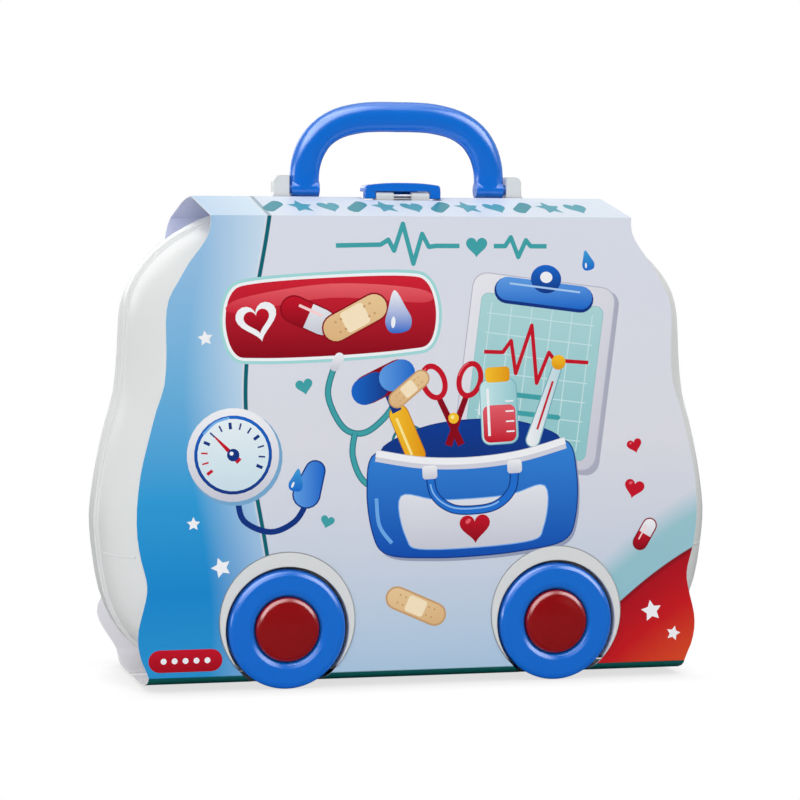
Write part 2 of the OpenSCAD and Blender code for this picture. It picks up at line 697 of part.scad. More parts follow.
// ---- instruments in the insert ----
syringe_r = 9;
syringe_z = 150;
syringe_y = lie_y - syringe_r;
module turned_x(x, y, z) {
    translate([x, y, z]) rotate([0, 90, 0]) rotate_extrude() children();
}
module syringe_barrel() {
    color(teal) difference() {
        union() {
            turned_x(46, syringe_y, syringe_z) polygon([
                [0, 0], [syringe_r, 0], [syringe_r, 50], [syringe_r - 1, 51.5], [3, 53], [2.6, 61], [0, 61]]);
            block([44, syringe_y - 4, syringe_z - 15], [46.5, lie_y, syringe_z + 15]);
        }
        turned_x(43, syringe_y, syringe_z) polygon([
            [0, 0], [syringe_r - 1.4, 0], [syringe_r - 1.4, 52.6], [1.2, 54], [1.2, 65], [0, 65]]);
    }
}
module syringe_plunger() {
    color(yellow) turned_x(18, syringe_y, syringe_z) polygon([
        [0, 1.4], [5.5, 1.4], [6.6, 0], [8.2, 0], [8.8, 1], [8.8, 4], [8, 5], [3, 5.6], [3, 54],
        [syringe_r - 2.4, 54], [syringe_r - 1.5, 55], [syringe_r - 1.5, 58], [syringe_r - 2.4, 59], [0, 60]]);
}

scope_y = lie_y - 8.5;
scope_z = 158;
module otoscope_head() {
    color(blue) difference() {
        union() {
            translate([-38, scope_y, scope_z]) rotate_extrude() polygon([
                [0, -14], [6.5, -14], [8, -12.5], [8, -9], [7, -8], [8.4, -6], [8.4, 8],
                [7, 11], [5, 16], [3.4, 28], [2.6, 34], [0, 34]]);
            bar_x(scope_y, scope_z, 5.6, -52, -40);
            bar_x(scope_y, scope_z, 7.2, -50.4, -47.6);
        }
        translate([-38, scope_y, scope_z]) cylinder(r = 1.5, h = 40);
    }
}
module otoscope_handle() {
    color(yellow) turned_x(-113, scope_y, scope_z) polygon(concat(
        [[0, 0], [6.5, 0], [8.5, 2]],
        [for (k = [0 : 6]) each [[8.5, 8 + 6 * k], [7.4, 9.5 + 6 * k], [7.4, 11.5 + 6 * k], [8.5, 13 + 6 * k]]],
        [[8.5, 56], [7, 61], [0, 61]]));
}

module hammer_disc() {
    color(blue) translate([0, disc_y, 0]) rotate_extrude() polygon([
        [0, 29.5], [3.5, 29.5], [4.5, 28], [8, 28.4], [12, 31], [14.2, 34.5], [disc_r, 38], [disc_r, 41],
        [9, 41], [9, 45], [6.6, 46.5], [6.6, 58], [5, 58], [0, 58]]);
}
module hammer_ring() {
    color(red) translate([0, disc_y, 0]) difference() {
        translate([0, 0, 41]) cylinder(r = disc_r - 1, h = 3.4);
        translate([0, 0, 40]) cylinder(r = 9 + near_fit, h = 6);
    }
}
module hammer_grip() {
    color(yellow) translate([0, disc_y, 58]) union() {
        cylinder(r = 7.2, h = 56, $fn = 8);
        cylinder(r = 7.6, h = 3);
        translate([0, 0, 54]) cylinder(r = 7.6, h = 4);
    }
}

glass_x = 68;
glass_z = 78;
module play_glasses() {
    y1 = floor_in;
    color(red) {
        for (x = [glass_x - 19.5, glass_x + 19.5]) difference() {
            bar_y(x, glass_z, 16.5, y1 - 3.6, y1);
            bar_y(x, glass_z, 12.5, y1 - 5, y1 + 1);
        }
        block([glass_x - 5.5, y1 - 3.4, glass_z + 2], [glass_x + 5.5, y1, glass_z + 6]);
        for (x0 = [glass_x - 38, glass_x + 35]) block([x0, y1 - 7.6, glass_z + 2], [x0 + 3, y1, glass_z + 8]);
        block([glass_x - 37, y1 - 7.4, glass_z + 3], [glass_x + 22, y1 - 4.6, glass_z + 7]);
        block([glass_x - 22, y1 - 11, glass_z + 3], [glass_x + 37, y1 - 7.8, glass_z + 7]);
        block([glass_x + 35, y1 - 11, glass_z + 3], [glass_x + 38, y1 - 7, glass_z + 7]);
    }
}
module ear_tip() {
    color(red) translate([-66, floor_in, 84]) rotate([90, 0, 0]) rotate_extrude() polygon([
        [3, 0], [10, 0], [10, 3], [8.6, 4.5], [4.2, 17], [2.6, 17], [2.6, 16], [3, 4]]);
}

// The mirror lies in the left side tray and moves with it.
mirror_x = -tray_x0 - 30;
mirror_floor = tray_y1 - tray_wall;
module mirror_ring() {
    z = tray_z0 + 84;
    color(blue) {
        difference() {
            bar_y(mirror_x, z, 14.5, mirror_floor - 5, mirror_floor);
            bar_y(mirror_x, z, 10.5, mirror_floor - 6, mirror_floor - 2);
        }
        translate([mirror_x, mirror_floor - 3, z - 24]) cylinder(r = 2.6, h = 12);
    }
}
module mirror_grip() {
    z = tray_z0 + 60;
    color(yellow) translate([mirror_x, mirror_floor - 5.4, z - 54]) rotate_extrude() polygon([
        [0, 0], [4, 0], [5.4, 2], [5.4, 18], [4.4, 22], [4.4, 44], [5, 50], [3, 54], [0, 54]]);
}

// ---- what hangs in the lid ----
module backdrop_card() {
    color(card) difference() {
        slab_y([for (p = section(inner_face, wall + 1.5)) p], -inner_face, -inner_face + card_t);
        for (side = [-1, 1]) {
            bar_y(side * wheel_x, wheel_z, well_r + wall + 0.5, -inner_face - 2, -inner_face + 2);
            bar_y(side * wheel_x, arch_z, arch_d / 2 + 0.8, -inner_face - 2, -inner_face + 2);
        }
    }
}
rack_back = -inner_face + card_t;
rack_z = 176;
basket_y = -27;
basket_w = 76;
basket_z = 148;
hook_r = 2.2;
hook_x = 88;
hook_z = 166;
hook_y = -38.6;
module tool_rack() {
    t = tray_wall;
    half = basket_w / 2;
    color(blue) difference() {
        union() {
            slab_y(rounded(-112, 112, 158, rack_z, 4), rack_back, rack_back + t);
            block([-half, rack_back, basket_z], [half, basket_y, rack_z]);
            for (x = [-hook_x, hook_x]) {
                bar_y(x, hook_z, hook_r, rack_back, hook_y);
                block([x - hook_r, hook_y - 1.8, hook_z], [x + hook_r, hook_y, hook_z + 5.5]);
            }
        }
        block([-half + t, rack_back + t, basket_z + t], [half - t, basket_y - t, rack_z + 1]);
        for (k = [0 : 5]) {
            x = (k - 2.5) * (basket_w - 10) / 6;
            slab_y(rounded(x - 3, x + 3, basket_z + 5, rack_z - 5, 2.9), basket_y - t - 1, basket_y + 1);
        }
    }
}

therm_y0 = -41;
therm_y1 = -35;
module thermometer() {
    z0 = basket_z + tray_wall;
    cz = z0 + 58;
    color(yellow) difference() {
        slab_y(concat(
            [[-4.5, z0 + 2], [-2.5, z0], [2.5, z0], [4.5, z0 + 2], [4.8, z0 + 24], [8, z0 + 36]],
            arc(0, cz, 17, -32, 212, 20), [[-8, z0 + 36], [-4.8, z0 + 24]]), therm_y0, therm_y1);
        difference() {
            bar_y(0, cz, 13.4, therm_y1 - 0.8, therm_y1 + 1);
            bar_y(0, cz, 11.6, therm_y1 - 2, therm_y1 + 2);
        }
    }
}

// Scissors and forceps: two halves on a rivet that runs along Y.
cut_z = hook_z - 5.2 - 42;
hung_y0 = -44.6;
hung_y1 = -42.2;
free_y0 = -41.9;
free_y1 = -39.5;
rivet_r = 2;
// One half with its finger ring at +X and its tip towards -X, about the rivet.
module snip_half(cup, y0, y1, bore) {
    difference() {
        union() {
            difference() {
                bar_y(12, 42, 11, y0, y1);
                bar_y(12, 42, 7.45, y0 - 1, y1 + 1);
            }
            slab_y([[4.6, 36.4], [9.8, 33.4], [3.6, 4], [4.6, -3], [2, -8], [-3, -8], [-4.6, 2], [-1, 12]], y0, y1);
            if (cup) {
                slab_y([[2.6, -6], [3.4, -32], [1, -38], [-3, -38], [-4.4, -30], [-3, -6]], y0, y1);
                bar_y(-1, -38, 7, y0, y1);
            }
            else slab_y([[2.6, -6], [-0.4, -46], [-2.4, -48], [-4.6, -30], [-3.4, -6]], y0, y1);
        }
        bar_y(0, 0, rivet_r + bore, y0 - 1, y1 + 1);
    }
}
module hung_half(x, cup) {
    translate([x, 0, cut_z]) snip_half(cup, hung_y0, hung_y1, near_fit);
}
module free_half(x, cup) {
    translate([x, 0, cut_z]) mirror([1, 0, 0]) snip_half(cup, free_y0, free_y1, fit);
}
module rivet(x) {
    translate([x, hung_y0 - 1.2, cut_z]) rotate([-90, 0, 0]) rotate_extrude() polygon([
        [0, 0], [3, 0], [3.8, 0.6], [3.8, 1.2], [rivet_r, 1.2], [rivet_r, free_y1 + gap - hung_y0 + 1.2],
        [3.8, free_y1 + gap - hung_y0 + 1.2], [3.8, free_y1 + gap - hung_y0 + 1.8],
        [2.6, free_y1 + gap - hung_y0 + 2.8], [0, free_y1 + gap - hung_y0 + 3.1]]);
}
scissors_x = hook_x - 12;
forceps_x = -hook_x + 12;
module scissors_blade_hung() { color(red) hung_half(scissors_x, false); }
module scissors_blade_free() { color(red) free_half(scissors_x, false); }
module scissors_rivet() { color(yellow) rivet(scissors_x); }
module forceps_arm_hung() { color(red) mirror([1, 0, 0]) hung_half(-forceps_x, true); }
module forceps_arm_free() { color(red) mirror([1, 0, 0]) free_half(-forceps_x, true); }
module forceps_rivet() { color(yellow) rivet(forceps_x); }

base_shell();
lid_shell();
base_sleeve();
lid_sleeve();
hinge_pin_left();
hinge_pin_right();
carry_handle();
latch_tab();
latch_pin();
axle_front_left();
axle_front_right();
axle_rear_left();
axle_rear_right();
wheel_front_left();
wheel_front_right();
wheel_rear_left();
wheel_rear_right();
hub_cap_front_left();
hub_cap_front_right();
hub_cap_rear_left();
hub_cap_rear_right();
insert_tray();
floor_card_left();
floor_card_right();
side_tray_left();
side_tray_right();
backdrop_card();
tool_rack();
syringe_barrel();
syringe_plunger();
otoscope_head();
otoscope_handle();
hammer_disc();
hammer_ring();
hammer_grip();
play_glasses();
ear_tip();
mirror_ring();
mirror_grip();
thermometer();
forceps_arm_hung();
forceps_arm_free();
forceps_rivet();
scissors_blade_hung();
scissors_blade_free();
scissors_rivet();
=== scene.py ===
# %% [markdown]
# # A toy doctor case in a printed card sleeve
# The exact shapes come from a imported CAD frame. Blender adds what a photograph
# shows beyond shape: moulded plastic, printed card, soft light and a camera.
# Everything here is in metres, with X along the long face, Y from the front
# to the back and Z up.

# %% Load the frame
import math

import bpy
import numpy as np
from mathutils import Matrix, Vector
from mathutils.geometry import delaunay_2d_cdt


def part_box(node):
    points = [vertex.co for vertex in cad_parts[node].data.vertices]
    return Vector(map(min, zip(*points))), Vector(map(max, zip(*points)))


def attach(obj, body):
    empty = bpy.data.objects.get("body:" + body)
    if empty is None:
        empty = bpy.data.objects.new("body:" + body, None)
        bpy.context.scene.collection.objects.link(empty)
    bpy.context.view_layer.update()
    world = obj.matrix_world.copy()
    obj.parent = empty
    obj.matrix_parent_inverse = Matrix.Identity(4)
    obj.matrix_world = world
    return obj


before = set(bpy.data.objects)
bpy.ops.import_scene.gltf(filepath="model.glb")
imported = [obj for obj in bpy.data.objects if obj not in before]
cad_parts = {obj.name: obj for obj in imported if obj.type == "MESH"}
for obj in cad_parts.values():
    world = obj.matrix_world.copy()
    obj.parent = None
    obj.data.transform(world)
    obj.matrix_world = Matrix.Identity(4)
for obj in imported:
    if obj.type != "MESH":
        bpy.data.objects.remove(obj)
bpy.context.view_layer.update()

MM = 0.001

# %% [markdown]
# ## The camera first
# The picture is square. A long lens stands well to the left of the middle, a
# little below the top of the case, and looks slightly down. Its place comes
# first, so that every later look at the scene is from the same spot.

# %% Camera
CAM_AT = Vector((-0.3612, -1.4092, 0.2204))
CAM_YAW = math.radians(14.4)
CAM_PITCH = math.radians(3.1)
CAM_ROLL = math.radians(0.2)
LENS = 125.53
SENSOR = 36.0


def link(obj):
    """Puts an object into the scene."""
    bpy.context.scene.collection.objects.link(obj)
    return obj


cam_data = bpy.data.cameras.new("camera")
cam_data.lens = LENS
cam_data.sensor_width = SENSOR
camera = link(bpy.data.objects.new("camera", cam_data))
# a fresh camera looks straight down: roll it, raise it until it is nearly level, turn it
roll = Matrix.Rotation(CAM_ROLL, 4, "Z")
raised = Matrix.Rotation(math.pi / 2 - CAM_PITCH, 4, "X")
turned = Matrix.Rotation(-CAM_YAW, 4, "Z")
camera.matrix_world = Matrix.Translation(CAM_AT) @ turned @ raised @ roll
bpy.context.scene.camera = camera
print("camera at", [round(v, 3) for v in CAM_AT])

# %% [markdown]
# ## Helpers for trees of nodes
# Materials, the floor and the world are all trees of nodes. The short functions
# here add one node, feed its inputs and give back its output. A Term is an
# output that can be added to and multiplied as a number can; each step makes a
# Math node, so that a tree can be written down as one writes a sum.

# %% Node helpers
def rgb(r, g, b):
    """A linear colour from the 0 to 255 values of a screen."""
    values = [v / 255 for v in (r, g, b)]
    linear = [v / 12.92 if v <= 0.04045 else ((v + 0.055) / 1.055) ** 2.4 for v in values]
    return (*linear, 1.0)


class Term:
    """The output of a node, to reckon with as with a number."""

    def __init__(self, socket):
        self.socket = socket

    def __add__(self, other):
        return reckon("ADD", self, other)

    def __sub__(self, other):
        return reckon("SUBTRACT", self, other)

    def __rsub__(self, other):
        return reckon("SUBTRACT", other, self)

    def __mul__(self, other):
        return reckon("MULTIPLY", self, other)

    def __truediv__(self, other):
        return reckon("DIVIDE", self, other)

    def held(self):
        """The same term, held between 0 and 1."""
        self.socket.node.use_clamp = True
        return self


def feed(tree, node, feeds):
    """Feeds inputs of a node: an output is linked and a plain value is written."""
    for label, value in feeds.items():
        value = value.socket if isinstance(value, Term) else value
        if isinstance(value, bpy.types.NodeSocket):
            tree.links.new(value, node.inputs[label])
        else:
            node.inputs[label].default_value = value


def add(tree, kind, feeds=None, **settings):
    """Adds a node, sets it up and feeds it."""
    node = tree.nodes.new(kind)
    for setting, value in settings.items():
        setattr(node, setting, value)
    feed(tree, node, feeds or {})
    return node


def reckon(operation, a, b=0.0):
    """One step of arithmetic; a or b is a Term."""
    tree = (a if isinstance(a, Term) else b).socket.id_data
    return Term(add(tree, "ShaderNodeMath", {0: a, 1: b}, operation=operation).outputs[0])


def between(tree, share, low, high):
    """A value that runs from low to high as the share goes from 0 to 1."""
    feeds = {"Value": share, "To Min": low, "To Max": high}
    return add(tree, "ShaderNodeMapRange", feeds).outputs["Result"]


def rise(tree, value, start, end, height):
    """A smooth rise from 0 to a height as the value passes from start to end."""
    feeds = {"Value": value, "From Min": start, "From Max": end, "To Max": height}
    node = add(tree, "ShaderNodeMapRange", feeds, interpolation_type="SMOOTHSTEP")
    return Term(node.outputs["Result"])


def blend_colors(tree, share, a, b):
    """The colour a, or b where the share is 1."""
    return add(tree, "ShaderNodeMix", {0: share, 6: a, 7: b}, data_type="RGBA").outputs[2]


def blend_shaders(tree, share, a, b):
    """The shader a, or b where the share is 1."""
    return add(tree, "ShaderNodeMixShader", {0: share, 1: a, 2: b}).outputs[0]


def ramp(tree, share, stops):
    """A colour that runs through stops, each a place from 0 to 1 and a screen colour."""
    node = add(tree, "ShaderNodeValToRGB", {0: share})
    elements = node.color_ramp.elements
    while len(elements) < len(stops):
        elements.new(0.5)
    for element, (place, *color) in zip(elements, stops):
        element.position = place
        element.color = rgb(*color)
    return node.outputs[0]


def object_place(tree):
    """A place on the piece, which moves with the piece."""
    return add(tree, "ShaderNodeTexCoord").outputs["Object"]


def parts_of(tree, vector):
    """X, Y and Z of a vector."""
    return [Term(part) for part in add(tree, "ShaderNodeSeparateXYZ", {0: vector}).outputs]


# %% Helpers for whole trees
def new_finish(name):
    """A material with only its shader, and the tree and shader to work on."""
    finish = bpy.data.materials.new(name)
    finish.use_nodes = True
    tree = finish.node_tree
    return finish, tree, tree.nodes["Principled BSDF"]


def new_group(kind, name, given, made):
    """A node group with named inputs and outputs, and its two end nodes."""
    tree = bpy.data.node_groups.new(name, kind)
    for label, socket, value in given:
        item = tree.interface.new_socket(label, in_out="INPUT", socket_type="NodeSocket" + socket)
        if value is not None:
            item.default_value = value
    for label, socket in made:
        tree.interface.new_socket(label, in_out="OUTPUT", socket_type="NodeSocket" + socket)
    return tree, tree.nodes.new("NodeGroupInput"), tree.nodes.new("NodeGroupOutput")


def link_in_turn(tree, nodes):
    """Links the first output of each node to the first input of the next."""
    for before, after in zip(nodes, nodes[1:]):
        tree.links.new(before.outputs[0], after.inputs[0])


# %% [markdown]
# ## Floor, light and background
# The floor is pale and plain for the light that bounces off it. The camera
# looks through it, and sees only a soft grey where the case stands close, so
# the half that swings below it when the case opens stays in sight. The world
# lights the scene softly, and the camera and clear plastic see it as plain
# white. Gloss mirrors it as pale too, but with a dark screen behind the camera
# and two windows in that screen, so that faces toward the camera keep their
# full colour and bevels catch a highlight. Boxes of light stand left, right
# and behind, and one hangs above, as in a shop picture.

# %% Floor
FLOOR_HALF = 3.0
FLOOR_PALE = 0.8             # for the light that bounces off it
FLOOR_MIRRORED = 0.08        # as gloss mirrors it
CONTACT_REACH = 26 * MM      # how far from the case the floor's shade reaches
CONTACT_DEPTH = 0.3          # how dark it gets right under the case


def floor_finish():
    """Pale from above for bounced light, clear from below and for lamps.

    The camera looks through it and sees shade where the case is near."""
    finish, tree, pale = new_finish("pale_floor")
    ray = add(tree, "ShaderNodeLightPath").outputs
    tone = between(tree, ray["Is Glossy Ray"], FLOOR_PALE, FLOOR_MIRRORED)
    feed(tree, pale, {"Base Color": tone, "Specular IOR Level": 0.0})
    near = add(tree, "ShaderNodeAmbientOcclusion", {"Distance": CONTACT_REACH})
    grey = between(tree, near.outputs["AO"], 1 - CONTACT_DEPTH, 1.0)
    shade = add(tree, "ShaderNodeBsdfTransparent", {"Color": grey})
    clear = add(tree, "ShaderNodeBsdfTransparent")
    below = add(tree, "ShaderNodeNewGeometry").outputs["Backfacing"]
    lets_through = reckon("MAXIMUM", Term(ray["Is Shadow Ray"]), below)
    one_way = blend_shaders(tree, lets_through, pale.outputs[0], clear.outputs[0])
    seen = blend_shaders(tree, ray["Is Camera Ray"], one_way, shade.outputs[0])
    feed(tree, tree.nodes["Material Output"], {"Surface": seen})
    return finish


floor_mesh = bpy.data.meshes.new("floor")
signs = ((-1, -1), (1, -1), (1, 1), (-1, 1))
corners = [(FLOOR_HALF * x, FLOOR_HALF * y, 0) for x, y in signs]
floor_mesh.from_pydata(corners, [], [(0, 1, 2, 3)])
floor = link(bpy.data.objects.new("floor", floor_mesh))
floor_mesh.materials.append(floor_finish())
print("floor reaches", FLOOR_HALF, "m each way")


# %% Lamps
def area_light(name, at, to, width, height, power):
    """A soft box of light that stands at one place and faces another."""
    data = bpy.data.lights.new(name, "AREA")
    data.shape = "RECTANGLE"
    data.size = width
    data.size_y = height
    data.energy = power
    lamp = link(bpy.data.objects.new(name, data))
    lamp.location = at
    lamp.rotation_euler = (Vector(to) - Vector(at)).to_track_quat("-Z", "Y").to_euler()


area_light("left_box", (-1.5, -1.5, 1.3), (0, 0, 0.12), 1.2, 1.6, 11)
area_light("right_box", (1.6, -1.2, 1.0), (0, 0, 0.12), 1.0, 1.4, 6)
area_light("top_box", (0.1, -0.2, 1.8), (0, 0, 0.1), 1.6, 1.6, 11.5)
area_light("back_box", (-0.6, 1.9, 0.9), (0, 0, 0.12), 1.4, 1.2, 8)
area_light("low_left_box", (-2.0, -0.9, 0.25), (0, 0, 0.1), 0.9, 0.5, 7)

# %% World
SOFT_LIGHT = 0.5
# What gloss mirrors: the pale background all round, a dark screen behind the
# camera, and two windows in that screen. For each, the way to it, where it
# starts and is full, as cosines, and how much light it adds.
MIRRORED_WHITE = 0.7
SCREEN = ((0.10, -0.95, 0.20), 0.25, 0.70, 0.03 - MIRRORED_WHITE)
WINDOWS = (((-0.36, -0.60, 0.71), 0.74, 0.94, 6.4),
           ((0.62, -0.62, 0.46), 0.91, 0.97, 6.0))


def near_way(tree, way, toward):
    """The cosine between a direction and the way to a window."""
    feeds = {0: way, 1: Vector(toward).normalized()}
    return add(tree, "ShaderNodeVectorMath", feeds, operation="DOT_PRODUCT").outputs["Value"]


def white_light(tree, strength):
    """Plain white light of one strength."""
    feeds = {"Color": (1, 1, 1, 1), "Strength": strength}
    return add(tree, "ShaderNodeBackground", feeds).outputs[0]


def white_world():
    """A world that lights softly, is seen as white and is mirrored as a room."""
    world = bpy.data.worlds.new("world")
    bpy.context.scene.world = world
    world.use_nodes = True
    world.cycles.sampling_method = "NONE"      # so that gloss meets the windows only
    tree = world.node_tree
    tree.nodes.remove(tree.nodes["Background"])
    way = add(tree, "ShaderNodeTexCoord").outputs["Generated"]
    room = MIRRORED_WHITE
    for toward, start, full, added in (SCREEN,) + WINDOWS:
        room = rise(tree, near_way(tree, way, toward), start, full, added) + room
    ray = add(tree, "ShaderNodeLightPath").outputs
    soft, mirrored, plain = (white_light(tree, strength) for strength in (SOFT_LIGHT, room, 1.0))
    unseen = blend_shaders(tree, ray["Is Glossy Ray"], soft, mirrored)
    looks = reckon("MAXIMUM", Term(ray["Is Camera Ray"]), ray["Is Transmission Ray"])
    shown = blend_shaders(tree, looks, unseen, plain)
    feed(tree, tree.nodes["World Output"], {"Surface": shown})


white_world()
bpy.context.scene.view_settings.view_transform = "Standard"
print("soft light from all round:", SOFT_LIGHT, "windows:", len(WINDOWS))

# %% [markdown]
# ## Shared finishes as node groups
# The plastics of one moulder share the same skin: a faint unevenness from
# flow and shrinkage that shows in highlights only, a gloss that wanders a
# little, and edges that are never quite sharp. One shader group holds that
# skin, and each colour puts its own values on the group's sockets. The group
# gives back colour, roughness and normal; the shader itself stays in each
# material, so that an export reads it.

# %% The skin
GLOSS_WANDER = 0.10          # how much the roughness varies
FLOW_SHADE = (0.0, 0.0, 0.02, 1)


def object_noise(tree, scale, detail=1.5):
    """Soft noise that stays on the piece as it moves."""
    feeds = {"Vector": object_place(tree), "Scale": scale, "Detail": detail}
    return Term(add(tree, "ShaderNodeTexNoise", feeds).outputs[0])


def skin_group(name, wave_scale, grain_scale, wave_depth, soft_edge):
    """A surface skin: soft edges, long waves and a fine wander of gloss."""
    group, given, made = new_group(
        "ShaderNodeTree", name,
        (("Color", "Color", (0.8, 0.8, 0.8, 1)), ("Roughness", "Float", 0.25),
         ("Waviness", "Float", 0.1), ("Flow marks", "Float", 0.03)),
        (("Color", "Color"), ("Roughness", "Float"), ("Normal", "Vector")))
    slow = object_noise(group, wave_scale)
    fine = object_noise(group, grain_scale, 2.0)
    waves = {"Distance": wave_depth, "Height": slow, "Strength": given.outputs["Waviness"]}
    bump = add(group, "ShaderNodeBump", waves)
    if soft_edge:
        edge = add(group, "ShaderNodeBevel", {"Radius": soft_edge})
        feed(group, bump, {"Normal": edge.outputs[0]})
    rough = ((fine - 0.5) * GLOSS_WANDER + given.outputs["Roughness"]).held()
    shade = slow * given.outputs["Flow marks"]
    color = blend_colors(group, shade, given.outputs["Color"], FLOW_SHADE)
    feed(group, made, {"Color": color, "Roughness": rough, "Normal": bump.outputs[0]})
    return group


MOULDED_SKIN = skin_group("moulded_skin", 26, 900, 0.6 * MM, 0.9 * MM)
CARD_SKIN = skin_group("card_skin", 14, 1400, 1.6 * MM, 0)
print("shared skins:", MOULDED_SKIN.name, CARD_SKIN.name)


# %% Plastics
def add_skin(tree, shader, skin, color, roughness, waviness, flow):
    """Puts a skin group between a colour and the shader."""
    feeds = {"Color": color, "Roughness": roughness, "Waviness": waviness, "Flow marks": flow}
    out = add(tree, "ShaderNodeGroup", feeds, node_tree=skin).outputs
    feed(tree, shader, {"Base Color": out["Color"], "Roughness": out["Roughness"],
                        "Normal": out["Normal"]})


def plastic(name, color, roughness, waviness, flow, gloss, clear=0.0):
    """A moulded plastic of one colour; clear lets light through."""
    finish, tree, shader = new_finish(name)
    add_skin(tree, shader, MOULDED_SKIN, color, roughness, waviness, flow)
    feed(tree, shader, {"IOR": 1.49, "Specular IOR Level": gloss, "Transmission Weight": clear})
    return finish


white = plastic("white_plastic", rgb(222, 224, 224), 0.30, 0.14, 0.02, 0.2)
blue = plastic("blue_plastic", rgb(0, 112, 218), 0.17, 0.08, 0.04, 0.8)
red = plastic("red_plastic", rgb(149, 0, 4), 0.17, 0.06, 0.04, 0.8)
yellow = plastic("yellow_plastic", rgb(250, 186, 18), 0.22, 0.08, 0.04, 0.7)
teal = plastic("clear_teal", rgb(150, 222, 222), 0.12, 0.05, 0.02, 0.8, 0.65)
print("plastics:", [m.name for m in (white, blue, red, yellow, teal)])


# %% Drawn steel
def steel_finish():
    """Bright drawn wire, for pins and axles."""
    finish, tree, shader = new_finish("drawn_steel")
    scuffed = object_noise(tree, 1500) * 0.2 + 0.2
    feed(tree, shader, {"Base Color": (0.55, 0.55, 0.57, 1), "Metallic": 1.0, "Roughness": scuffed})
    return finish


steel = steel_finish()
print("metal:", steel.name)

# %% [markdown]
# ## The printed card
# The sleeve is one sheet of white board, printed outside and varnished. Its
# large fields of colour are worked out in the shader from Object
# coordinates: a blue field with a wavy edge on the left, pale ground, a teal
# hill and a red corner. The board is pale inside, with painted light there:
# lighter toward the bottom and darker toward the top. It is white at its cut edge.

# %% Card finish
WAVE_MIDDLE = -86 * MM       # where the blue field ends, on average
WAVE_DEPTH = 7 * MM          # how far its edge swings
WAVE_TURNS = 27.0            # radians of swing per metre of height
WAVE_START = 0.7             # radians of swing at the floor
FIELD_FADE = 30 * MM         # how far in from its edge the field is paler
FADE_LOSS = 0.55             # how much of that is gone at the foot
LINE_HALF = 1.2 * MM         # half the width of the dark line beside the field
HILL_X = 150 * MM            # the hill's height is worked out from here
HILL_HIGH = 70 * MM
HILL_SLOPE = 0.48
HILL_BEND = -4.2
HAZE_START = 30 * MM         # how far above the hill its haze starts
HAZE_DEEP = 14 * MM          # and over what height it thickens
HAZE_INK = 0.75              # how much ink the haze takes
CORNER_DEEP = 60 * MM        # over what height the red corner changes its red
PRINT_TOP = 238 * MM
PRINT_TALL = 230 * MM
ROOF_FOLD = 236.6 * MM
ROOF_PALER = 0.45
LOWER_CREASE = 7.7 * MM
CRISP = 4000.0               # one over the width in metres of a printed edge,
LINE_CRISP = 3000.0          # of the dark line's edges,
HILL_CRISP = 1500.0          # of the hill's
FIELD_CRISP = 900.0          # and of the blue field's
CARD_TURNS = 200 * MM        # the card's outside faces up above it and down below it
INSIDE_FACES = -0.05         # a face that looks out less than this is the inside
CUT_FACES = 0.6              # and one that looks aside more than this is a cut edge
VARNISH = 0.12               # how much the varnish mirrors


def edge_at(value, sharpness=CRISP):
    """0 where the value is negative and 1 where it is well above 0."""
    return (value * sharpness).held()


def print_colors(tree, x, z):
    """The colour of the printed side at a place, from its X and its height."""
    down = ((PRINT_TOP - z) / PRINT_TALL).held()
    # the blue field, and how far left of its edge a place is
    swing = reckon("SINE", z * WAVE_TURNS + WAVE_START) * WAVE_DEPTH
    left = swing + WAVE_MIDDLE - x
    field = ramp(tree, down, [(0.0, 160, 198, 232), (0.35, 112, 180, 224), (0.62, 46, 156, 216),
                              (0.82, 22, 138, 208), (1.0, 40, 150, 212)])
    near_edge = (1.0 - (left / FIELD_FADE).held()).held()
    paler = near_edge * (1.0 - down * FADE_LOSS)
    field = blend_colors(tree, paler, field, rgb(206, 226, 242))
    line = edge_at(LINE_HALF - reckon("ABSOLUTE", left + LINE_HALF), LINE_CRISP)
    ground = ramp(tree, down, [(0.0, 222, 226, 238), (0.5, 224, 225, 233),
                               (0.75, 208, 216, 230), (1.0, 178, 206, 230)])
    # the teal hill and the red corner
    aside = x - HILL_X
    hill = aside * HILL_SLOPE + aside * aside * HILL_BEND
    below = hill + HILL_HIGH - z
    haze = ((below + HAZE_START) / HAZE_DEEP).held()
    color = blend_colors(tree, haze * HAZE_INK, ground, rgb(128, 194, 204))
    corner = ramp(tree, (below / CORNER_DEEP).held(),
                  [(0.0, 116, 8, 22), (0.06, 176, 14, 30), (0.45, 202, 22, 30), (1.0, 222, 78, 38)])
    color = blend_colors(tree, edge_at(below, HILL_CRISP), color, corner)
    color = blend_colors(tree, edge_at(left, FIELD_CRISP), color, field)
    color = blend_colors(tree, line, color, rgb(6, 100, 114))
    # the roof is paler, and the strip under the lower crease is dark
    roof = edge_at(z - ROOF_FOLD) * ROOF_PALER
    color = blend_colors(tree, roof, color, rgb(226, 240, 250))
    return blend_colors(tree, edge_at(LOWER_CREASE - z), color, rgb(10, 96, 92))


def varnish(tree, shader, color, roughness=0.36, waviness=0.12):
    """Turns a shader into varnished card of a colour."""
    add_skin(tree, shader, CARD_SKIN, color, roughness, waviness, 0.02)
    feed(tree, shader, {"Specular IOR Level": VARNISH})


